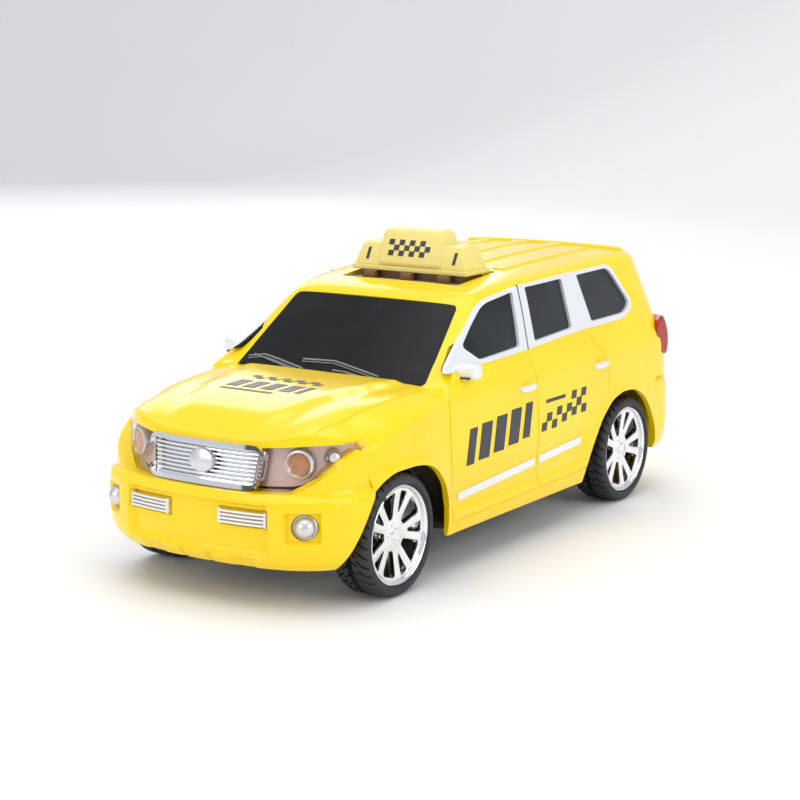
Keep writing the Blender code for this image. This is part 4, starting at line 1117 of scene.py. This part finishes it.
# %% Grille and badge
GRILLE = [(20, 36.6), (21.7, 49.9)]
grille_edge = rounded(mirrored_outline(GRILLE), [3, 3.6, 3.6, 3])
grille_hole = rounded(mirrored_outline(grown(GRILLE, -1.5)), [2.2, 2.6, 2.6, 2.2])
grille_frame = cut_away(slab(grille_edge, 3.2, at(0, 0, 0, ALONG_FRONT)),
                       slab(grille_hole, 8, at(0, 2, 0, ALONG_FRONT)))
lattice(lattice(grille_frame, 0, steps_between(-22, 22, 2)), 2, [38, 40, 42, 44, 46, 48])
bmesh.ops.translate(grille_frame, vec=(0, 1.6, 0), verts=grille_frame.verts)
grille_parts = [grille_frame]
for i in range(9):
    z = 38.3 + i * 1.24
    half_width = 18.6 + i * 0.16
    bar = block((-half_width, -0.3, z - 0.33), (half_width, 1.1, z + 0.33), 0.16, 2)
    grille_parts.append(lattice(bar, 0, steps_between(-half_width, half_width, 2)))
grille_back = slab(grille_hole, 0.8, at(0, 2.4, 0, ALONG_FRONT))
grille_parts.append(lattice(grille_back, 0, steps_between(-20, 20, 2)))
grille = joined(*grille_parts)
for corner in grille.verts:
    corner.co.y += nose_y(corner.co.x, corner.co.z) + 0.3
piece(grille, "grille_insert", CHROME, replaces=["grille"])
badge_turn = Matrix.Rotation(math.radians(90 - 8), 4, "X")
badge = turned([(0.01, 1), (3, 0.95), (3.55, 0.6), (3.7, 0), (3.7, -1.6), (0.01, -1.6)],
               at(0, nose_y(0, 43.6) - 0.4, 43.6, badge_turn), 48)
bmesh.ops.scale(badge, vec=(1.25, 1, 1), verts=badge.verts)
piece(badge, "blank_badge", SATIN, replaces=["grille_badge"])

# %% [markdown]
# The headlight's cover is a thin clear plate that follows the nose, and the bowl behind it runs in
# under the grille's frame, so that no gap shows between them.

# %% Headlights
LAMP = [(20.4, 49.7), (18.9, 36.9), (30, 37.2), (38, 42.4), (44.9, 49.3), (43.5, 51.1),
        (33, 50.9)]
LAMP_CORNERS = [0.8, 1, 3, 4, 1, 1, 3]
CUP = (30.4, 44.5)
BALL = (37.6, 46.3)


def nose_place(x, z, depth):
    """A place behind the nose's surface."""
    return Vector((x, nose_y(x, z) + depth, z))


def nose_turn(x):
    """A turn that looks straight out of the nose."""
    slope = (nose(abs(x) + 0.5) - nose(abs(x) - 0.5)) * math.copysign(1, x)
    return Matrix.Rotation(math.atan(slope), 4, "Z") @ Matrix.Rotation(math.pi / 2, 4, "X")


def nose_plate(outline, front, back, cell=1.6):
    """A plate that follows the nose, between two distances behind its surface."""
    plate = slab(outline, back - front, at(0, back, 0, ALONG_FRONT))
    lattice(lattice(plate, 0, steps_between(17, 46, cell)), 2, steps_between(36, 52, cell))
    for corner in plate.verts:
        corner.co.y += nose_y(corner.co.x, corner.co.z)
    bmesh.ops.recalc_face_normals(plate, faces=plate.faces)
    return plate


lens = nose_plate(rounded(LAMP, LAMP_CORNERS), 0.1, 0.9)
both_sides(lens, "headlight_cover", LENS, ["headlight_lens"])
BOWL = [(17.6, 49.4), (17.6, 37)] + grown(LAMP, -0.4)[2:]
bowl = nose_plate(rounded(BOWL, LAMP_CORNERS), 4.4, 5.6)
both_sides(bowl, "headlight_bowl", LAMP_BOWL, ["headlight_reflector"])
cup_place = nose_place(*CUP, 2.6)
ring = turned([(3.2, -1.2), (3.2, 0.9), (3.7, 1.5), (4.4, 1.3), (4.8, 0.2), (4.8, -1.2)],
              at(*cup_place, nose_turn(CUP[0] * 0.8)), 48)
both_sides(ring, "headlight_ring", SATIN)
cup = turned([(0.01, -0.6), (1.2, -0.5), (2.4, 0), (3.15, 0.8), (3.2, -1.3), (0.01, -1.4)],
             at(*cup_place, nose_turn(CUP[0] * 0.8)), 48)
both_sides(cup, "headlight_cup", AMBER)
both_sides(ball(nose_place(*BALL, 3.6), 2.9), "headlight_ball", SATIN)

# %% [markdown]
# Each vent is a silver insert of four bars in a frame, bent with the bumper. A fog lamp is a
# plated dome in a plated ring.

# %% Vents and fog lamps in the bumper
vent_parts = []
for i in range(4):
    z = 27.2 + i * 1.12
    bar = block((10, -0.5, z - 0.30), (26, 0.9, z + 0.34), 0.14, 2)
    vent_parts.append(lattice(bar, 0, steps_between(10, 26, 1.5)))
for low_x, high_x in ((9.7, 10.5), (25.5, 26.3)):
    vent_parts.append(block((low_x, -0.4, 26.6), (high_x, 0.9, 31.2), 0.14, 2))
vent = joined(*vent_parts)
for corner in vent.verts:
    x, y = front_wrap(corner.co.x, -1.2 - corner.co.y + front_face(corner.co.z))
    corner.co.x, corner.co.y = x, y
bmesh.ops.recalc_face_normals(vent, faces=vent.faces)
both_sides(vent, "bumper_bars", SILVER, ["bumper_vent"])
fog = turned([(0.01, 1.2), (0.9, 1.1), (1.9, 0.6), (2.7, -0.2), (3.2, -1.2), (3.3, -1.9), (3.6, -1.8),
              (3.75, -1.3), (3.9, -1.5), (3.9, -4), (0.01, -4)], fog_place(1), 48)
both_sides(fog, "fog_lamp_dome", SATIN, ["fog_lamp"])

# %% [markdown]
# ## Small bright parts on the sides
# Strips and door handles lie on the doors, so they are draped like the trim. A mirror is a
# pinched and rounded block on a short foot.

# %% Strips, handles and mirrors
STRIP_HALF = 1.25
strip_parts = []
for start, end in (((-43, 24.9), (5.6, 27.5)), ((8.8, 27.6), (38, 29.2))):
    outline = [(start[0], start[1] - STRIP_HALF), (end[0], end[1] - STRIP_HALF),
               (end[0], end[1] + STRIP_HALF), (start[0], start[1] + STRIP_HALF)]
    strip_parts.append(draped_side(rounded(outline, 0.5), -0.6, 0.55))
both_sides(joined(*strip_parts), "side_strip_pair", SILVER, ["side_strip"])

HANDLE_HALF, HANDLE_HALF_HEIGHT = 4.6, 0.95
for door, y, z in (("front_door", 0.2, 53.5), ("rear_door", 52.2, 53.9)):
    grip = block((-0.6, y - HANDLE_HALF, z - HANDLE_HALF_HEIGHT),
                 (1.7, y + HANDLE_HALF - 0.2, z + HANDLE_HALF_HEIGHT), 0.55, 3)
    lattice(grip, 1, steps_between(y - 4, y + 4, 0.9))
    for corner in grip.verts:
        share = (corner.co.y - y) / HANDLE_HALF
        corner.co.x += side_x(corner.co.y, corner.co.z) - 0.5 * share * share
        corner.co.z += 0.02 * (corner.co.y - y)
    bowl_behind = ball((side_x(y, z) + 0.1, y + 0.8, z), 2.3, (0.16, 1.5, 0.9), 12)
    both_sides(grip, f"{door}_handle_bar", SILVER, [f"{door}_handle"])
    both_sides(bowl_behind, f"{door}_handle_bowl", YELLOW)

MIRROR_MIDDLE = (46.2, -35.4, 64)
MIRROR_HALF = 4.6
mirror = block((-MIRROR_HALF, -2.7, -2.8), (MIRROR_HALF, 2.5, 2.8), 1.7, 5)
for corner in mirror.verts:
    share = corner.co.x / MIRROR_HALF
    corner.co.z *= 1 - 0.10 * (1 - share)
    corner.co.z += 0.25 * share
    corner.co.y += 0.45 * share - 0.12 * corner.co.z
    if corner.co.y > 1.8:
        corner.co.y -= 0.35 * (1 - share * share)
bmesh.ops.translate(mirror, vec=MIRROR_MIDDLE, verts=mirror.verts)
foot = block((42.6, -37.2, 61.2), (46.6, -34.6, 64.6), 0.8, 3)
both_sides(joined(mirror, foot), "mirror_shell", SILVER, ["mirror"])
both_sides(block((44.2, -38.3, 61.9), (48.8, -36.6, 62.4), 0.2, 2), "mirror_slot", BLACK)

# %% [markdown]
# A tail lamp is a thick soft-edged red lens that wraps the tail's corner and leans with it.

# %% Tail lamps
TAIL_LAMP = [(-10, 52.4), (0.6, 50), (1.6, 58), (-0.6, 66), (-8.4, 62.5)]
TAIL_LAMP_X, TAIL_LAMP_Y = 40, 109
TAIL_LAMP_LOW, TAIL_LAMP_HEIGHT = 50, 16
TAIL_LAMP_WIDTH = 7.4
tail = slab(rounded(TAIL_LAMP, 3.2, 6), TAIL_LAMP_WIDTH, at(TAIL_LAMP_X, 0, 0, ALONG_X))
soften(tail, 0.9, 4)
lattice(tail, 0, steps_between(TAIL_LAMP_X, TAIL_LAMP_X + TAIL_LAMP_WIDTH, 0.8))
lattice(lattice(tail, 1, steps_between(-10, 1.6, 1.2)), 2, steps_between(50, 66, 1.4))
for corner in tail.verts:
    share = max(0, (corner.co.x - TAIL_LAMP_X) / TAIL_LAMP_WIDTH)
    bulge = math.sin(math.pi * (corner.co.z - TAIL_LAMP_LOW) / TAIL_LAMP_HEIGHT)
    corner.co.y += TAIL_LAMP_Y - 2.8 * share ** 3 + 1.2 * bulge
    corner.co.x += 0.6 - 0.10 * (corner.co.z - TAIL_LAMP_LOW)
bmesh.ops.recalc_face_normals(tail, faces=tail.faces)
both_sides(tail, "tail_lamp_lens", RED, ["tail_lamp"])

# %% [markdown]
# ## The roof sign
# The sign is a cream box with two lower wings, moulded hollow and clipped into a recess in the
# roof. Its faces lean back a little so that it leaves the mould, and all its edges are soft.

# %% Sign
def leaning_block(low, high, lean_front, lean_back, lean_side, soft):
    """A box whose faces lean in towards its top by given distances."""
    form = block(low, high)
    for corner in form.verts:
        if corner.co.z > (low[2] + high[2]) / 2:
            corner.co.y += lean_front if corner.co.y < (low[1] + high[1]) / 2 else -lean_back
            corner.co.x -= math.copysign(lean_side, corner.co.x)
    return soften(form, soft, 5)


SIGN_LOW, SIGN_HIGH, SIGN_LEAN = (-13.6, 0.3, 90.3), (13.6, 16.6, 103.2), 2.8
WING_LOW, WING_HIGH, WING_LEAN = (-23, 1.3, 90.2), (23, 16, 98.3), 1.7
centre_box = leaning_block(SIGN_LOW, SIGN_HIGH, SIGN_LEAN, 3.6, 1.9, 1.9)
wings = leaning_block(WING_LOW, WING_HIGH, WING_LEAN, 2.6, 3.1, 0.9)
skirt = block((-23.3, 0.7, 88.7), (23.3, 16.8, 90.4), 0.35, 3)
piece(joined(centre_box, wings, skirt), "sign_box", CREAM, replaces=["roof_sign"])
# The recess floor is coloured grey-blue as a painted sky reflection, laid on what is a dark glossy plate.
ledge = block((-23.7, -5.2, 84.6), (23.7, 20, 86.1), 0.3, 2)
piece(ledge, "sign_well_floor_painted_sky", SKY_REFLECTION_GREY, replaces=["sign_base"])
# The blocks under the sign are brown as a painted reflection of the sign's underside in the recess floor.
clips = joined(*[block((x - 2.2, -1.2, 86), (x + 2.2, 1.8, 88.7), 0.3, 2) for x in (-15, 0, 15)],
               block((-21, 3, 86), (21, 15, 88.8), 0.3, 2))
piece(clips, "sign_clips_painted_reflection", SIGN_REFLECTION_BROWN)

# %% [markdown]
# Four flat ribs stiffen the roof behind the sign and end before a low lip across its rear edge.

# %% Roof ribs
RIB_HALF, RIB_START_Y = 2.6, 24


def rest_on_top(work, axis, low, high, size, rise=0):
    """Slices a form along one axis and sets it on the bonnet or the roof."""
    lattice(work, axis, steps_between(low, high, size))
    for corner in work.verts:
        corner.co.z += top_z(corner.co.x, corner.co.y) + rise
    return work


ribs = []
for x, rear_y in ((-22, 90), (-7.5, 92), (7.5, 91), (22, 86)):
    rib = block((x - RIB_HALF, RIB_START_Y, -0.8), (x + RIB_HALF, rear_y, 0.55), 0.5, 3)
    ribs.append(rest_on_top(rib, 1, RIB_START_Y, rear_y, 2.5))
ribs.append(rest_on_top(block((-33, 93.4, -1.2), (33, 96.8, 0.75), 0.6, 3), 0, -33, 33, 2.5))
piece(joined(*ribs), "roof_ribs", YELLOW)

# %% [markdown]
# ## Printing
# The printed livery is a plain pattern of our own: slanted bars and a rising row of chequers.
# Each mark is a very thin film cut out flat and laid on the body, so its edges stay sharp at
# any distance.

# %% Slanted marks
FILM = 0.10
BAR_HEIGHT = 11.6
CHECK_WIDTH, CHECK_HEIGHT = 3.5, 2.9


def slanted(left, low, width, height, slant=0.22):
    """A four-sided mark whose uprights lean."""
    return [(left + slant * (z - low), z) if i in (0, 3) else (left + width + slant * (z - low), z)
            for i, z in enumerate((low, low, low + height, low + height))]


side_marks = []
for i, (left, width) in enumerate(((-39, 4.6), (-31.6, 6.6), (-22.2, 6.6), (-12.8, 6.6), (-3.4, 4.6))):
    side_marks.append(slanted(left, 34.2 + (left + 39) * 0.075, width, BAR_HEIGHT))
for column in range(9):
    for row in range(3):
        if (column + row) % 2 == 0 and row <= 1 + (column > 5):
            low = 37 + column // 3 * 1.1 + row * CHECK_HEIGHT
            side_marks.append(slanted(9.4 + column * CHECK_WIDTH, low, CHECK_WIDTH, CHECK_HEIGHT))
side_marks.append(slanted(12.6, 46.3, 13.5, 1.2))
films = [draped_side(outline, -0.05, FILM, cell=1.6) for outline in side_marks]
both_sides(joined(*films), "side_livery", INK)

# %% [markdown]
# The bonnet has a small group of the same marks, and the sign has a panel of chequers between two
# short bars, laid on its leaning front faces.

# %% Marks on the bonnet and the sign

bonnet_marks = []
for i in range(10):
    for row in range(2):
        if (i + row) % 2 == 0:
            bonnet_marks.append((-14.2 + i * 2.84 - row * 0.5, -68.4 - row * 1.9, 2.84, 1.9))
for left, width in ((-14, 4.4), (-7.4, 4.6), (-0.6, 4.6), (6.2, 4.6), (12.6, 2.2)):
    bonnet_marks.append((left - 1.2, -80.6, width, 7.2))
bonnet_marks.append((-15.4, -83.8, 20, 1.3))
films = []
for left, low, width, height in bonnet_marks:
    film = slab(slanted(left, low, width, height, 0.18), FILM + 0.1, ALONG_Z)
    lattice(film, 0, steps_between(-18, 18, 1.5))
    films.append(rest_on_top(film, 1, -86, -64, 1.5, rise=-0.08))
piece(joined(*films), "bonnet_livery", INK)

sign_turn = Matrix.Rotation(math.radians(90) - math.atan(SIGN_LEAN / (SIGN_HIGH[2] - SIGN_LOW[2])), 4, "X")
films = []
for column in range(8):
    for row in range(3):
        if (column + row) % 2 == 0:
            films.append(slab(slanted(-8.6 + column * 2.1, -2.9 + row * 1.9, 2.1, 1.9, 0.15), 0.1,
                              at(0, 1.72, 96.9, sign_turn)))
wing_turn = Matrix.Rotation(math.radians(90) - math.atan(WING_LEAN / (WING_HIGH[2] - WING_LOW[2])), 4, "X")
for side in (-1, 1):
    films.append(slab(slanted(side * 17.6 - 0.5, -2.2, 1.1, 4.2, 0.2), 0.1, at(0, 2.12, 94.4, wing_turn)))
piece(joined(*films), "sign_marks", INK)

# %% [markdown]
# ## Wheels
# The tyre is spun from its section and its tread is pressed in cell by cell. The plated hub has
# five twin spokes. Both wheels of an axle turn with it, so they ride on the axle's body.

# %% Tyre
TYRE_OUTER = 19.2
TREAD_FLOOR = 18.3                # everything further out is tread
TREAD_EDGE = 17.4                 # and everything further out than this leans with it
TREAD_STEPS = 144
GROOVE_DEPTH = 0.75
TREAD_TWIST = math.radians(1.9)   # how far the tread's blocks lean for each millimetre outwards


def make_tyre():
    """A tyre round Z, with rows of blocks between slanted grooves."""
    section_points = [(15.9, 6.2), (16.3, 6.9), (16.9, 7), (17.6, 6.85), (18.2, 6.55), (18.7, 6.1),
                      (19.05, 5.3)]
    tread = [(TYRE_OUTER, 4.6 - i * 0.92) for i in range(11)]
    mirrored_points = [(radius, -along) for radius, along in reversed(section_points)]
    tyre = turned(section_points + tread + mirrored_points + [(15.7, -6), (15.7, 6)],
                  Matrix.Identity(4), TREAD_STEPS)
    grooves = []
    for face in tyre.faces:
        middle = face.calc_center_median()
        radius = math.hypot(middle.x, middle.y)
        if radius < TREAD_FLOOR:
            continue
        row = round(math.atan2(middle.y, middle.x) / (2 * math.pi) * TREAD_STEPS - 0.5)
        band = abs(middle.z)
        shift = 1 if middle.z > 0 else 3
        if band < 0.5 or (row + shift + (2 if band < 2.6 else 0)) % 4 == 0:
            grooves.append(face)
    bmesh.ops.inset_individual(tyre, faces=grooves, thickness=0.06, use_even_offset=True)
    corners = {corner for face in grooves for corner in face.verts}
    for corner in corners:
        flat = Vector((corner.co.x, corner.co.y, 0))
        corner.co -= flat.normalized() * GROOVE_DEPTH
    for corner in tyre.verts:
        if math.hypot(corner.co.x, corner.co.y) > TREAD_EDGE:
            corner.co = Matrix.Rotation(TREAD_TWIST * abs(corner.co.z), 3, "Z") @ corner.co
    return tyre


# %% [markdown]
# The hub is a plated dish in a barrel. Its spokes are what is left between the openings, its edges
# are softened so that they catch the light, and the dish is then bent inwards to its middle.

# %% Hub
SPOKE_PAIRS = 5
PAIR_STEP = 360 / SPOKE_PAIRS


def spoke_openings():
    """Five wide openings between the pairs of spokes and five slots inside the pairs."""
    openings = []
    for i in range(SPOKE_PAIRS):
        pair = 90 + PAIR_STEP * i
        for middle, inner, outer, inner_half, outer_half, soft in (
                (pair + PAIR_STEP / 2, 5.4, 13.7, 11, 16, [0.6, 1.8, 1.8, 0.6]),
                (pair, 7.2, 13.7, 3, 7.5, [0.3, 0.8, 0.8, 0.3])):
            corners = []
            for radius, half in ((inner, -inner_half), (outer, -outer_half), (outer, outer_half),
                                 (inner, inner_half)):
                angle = math.radians(middle + half)
                corners.append((radius * math.cos(angle), radius * math.sin(angle)))
            openings.append(rounded(corners, soft, 3))
    return openings


FACE_RADIUS, FACE_SIDES = 14.7, 80
FACE_LOW, FACE_THICKNESS = 2.6, 2.4
DISH_RADIUS, DISH_RISE, DISH_DROP = 14, 1.3, 1.1


def make_hub():
    """The hub's outer face looks along +Z; its middle plane is at 0."""
    barrel = turned([(15.6, 6.2), (15.6, -6.3), (14.6, -6.3), (14.5, 3.6), (14.3, 5.2), (14.7, 6.1),
                     (15.2, 6.4)], Matrix.Identity(4), 96)
    turns = [2 * math.pi * i / FACE_SIDES for i in range(FACE_SIDES)]
    edge = [(FACE_RADIUS * math.cos(turn), FACE_RADIUS * math.sin(turn)) for turn in turns]
    face = slab(edge, FACE_THICKNESS, at(0, 0, FACE_LOW))
    for opening in spoke_openings():
        face = cut_away(face, slab(opening, 6, at(0, 0, 0)))
    bmesh.ops.dissolve_limit(face, angle_limit=math.radians(1), verts=face.verts, edges=face.edges)
    soften(face, 0.34, 2, 50)
    bmesh.ops.triangulate(face, faces=face.faces)
    for cut in (4.6, 7, 9.2, 11.4, 13.2):
        ring = [edge for edge in face.edges
                if (edge.verts[0].co.xy.length - cut) * (edge.verts[1].co.xy.length - cut) < 0]
        bmesh.ops.subdivide_edges(face, edges=ring, cuts=1)
    for corner in face.verts:
        share = min(1, corner.co.xy.length / DISH_RADIUS)
        corner.co.z += DISH_RISE * share ** 1.6 - DISH_DROP
    parts = [barrel, face]
    parts.append(turned([(0.01, 4.9), (1.6, 4.8), (2.1, 4.3), (2.3, 3.4), (4.4, 3.2), (4.7, 2.6),
                         (4.7, -6), (0.01, -6)], Matrix.Identity(4), 48))
    for i in range(SPOKE_PAIRS):
        angle = math.radians(90 + PAIR_STEP * (i + 0.5))
        nut = turned([(0.01, 4.5), (0.5, 4.5), (0.8, 4.1), (0.85, 3), (0.01, 3)],
                     at(3.4 * math.cos(angle), 3.4 * math.sin(angle), 0), 12)
        parts.append(nut)
    return joined(*parts)


# %% [markdown]
# Tyres and hubs are made facing Z, then turned to face out of their own side of the car.

# %% Four wheels
HALF_TRACK, HALF_WHEELBASE = 40.9, 75
for end, y in (("front", -HALF_WHEELBASE), ("rear", HALF_WHEELBASE)):
    for hand, side in (("left", 1), ("right", -1)):
        facing = Matrix.Rotation(side * math.pi / 2, 4, "Y")
        where = at(side * HALF_TRACK, y, TYRE_OUTER, facing)
        for form, name, node, material, slot in (
                (make_tyre(), "tread_tyre", "tyre", RUBBER, "tyre_rubber"),
                (make_hub(), "spoked_hub", "hub", CHROME, "chrome")):
            bmesh.ops.transform(form, matrix=where, verts=form.verts)
            bmesh.ops.recalc_face_normals(form, faces=form.faces)
            piece(form, f"{name}_{end}_{hand}", material, f"{end}_wheels", [f"{node}_{end}_{hand}"],
                  math.radians(40))

# %% [markdown]
# ## The working parts
# The chassis, the motor's case, its gears, shafts and screws already have their right shapes in
# the frame, so they only take their finishes here.

# %% Finishes for the frame's own parts
FRAME_FINISHES = {
    BLACK: ("chassis", "front_axle_clip", "motor_housing", "motor_cover"),
    GEAR: ("axle_gear", "idler_gear_1", "idler_gear_2"),
    ZINC: ("flywheel",),
    STEEL: ("front_axle", "rear_axle", "flywheel_shaft", "idler_shaft_1", "idler_shaft_2",
            "motor_screw_front", "motor_screw_rear", "chassis_screw_front_left",
            "chassis_screw_front_right", "chassis_screw_rear_left", "chassis_screw_rear_right")}
for material, nodes in FRAME_FINISHES.items():
    for node in nodes:
        item = frame["nodes"][node]
        item.data.materials.clear()
        item.data.materials.append(material)
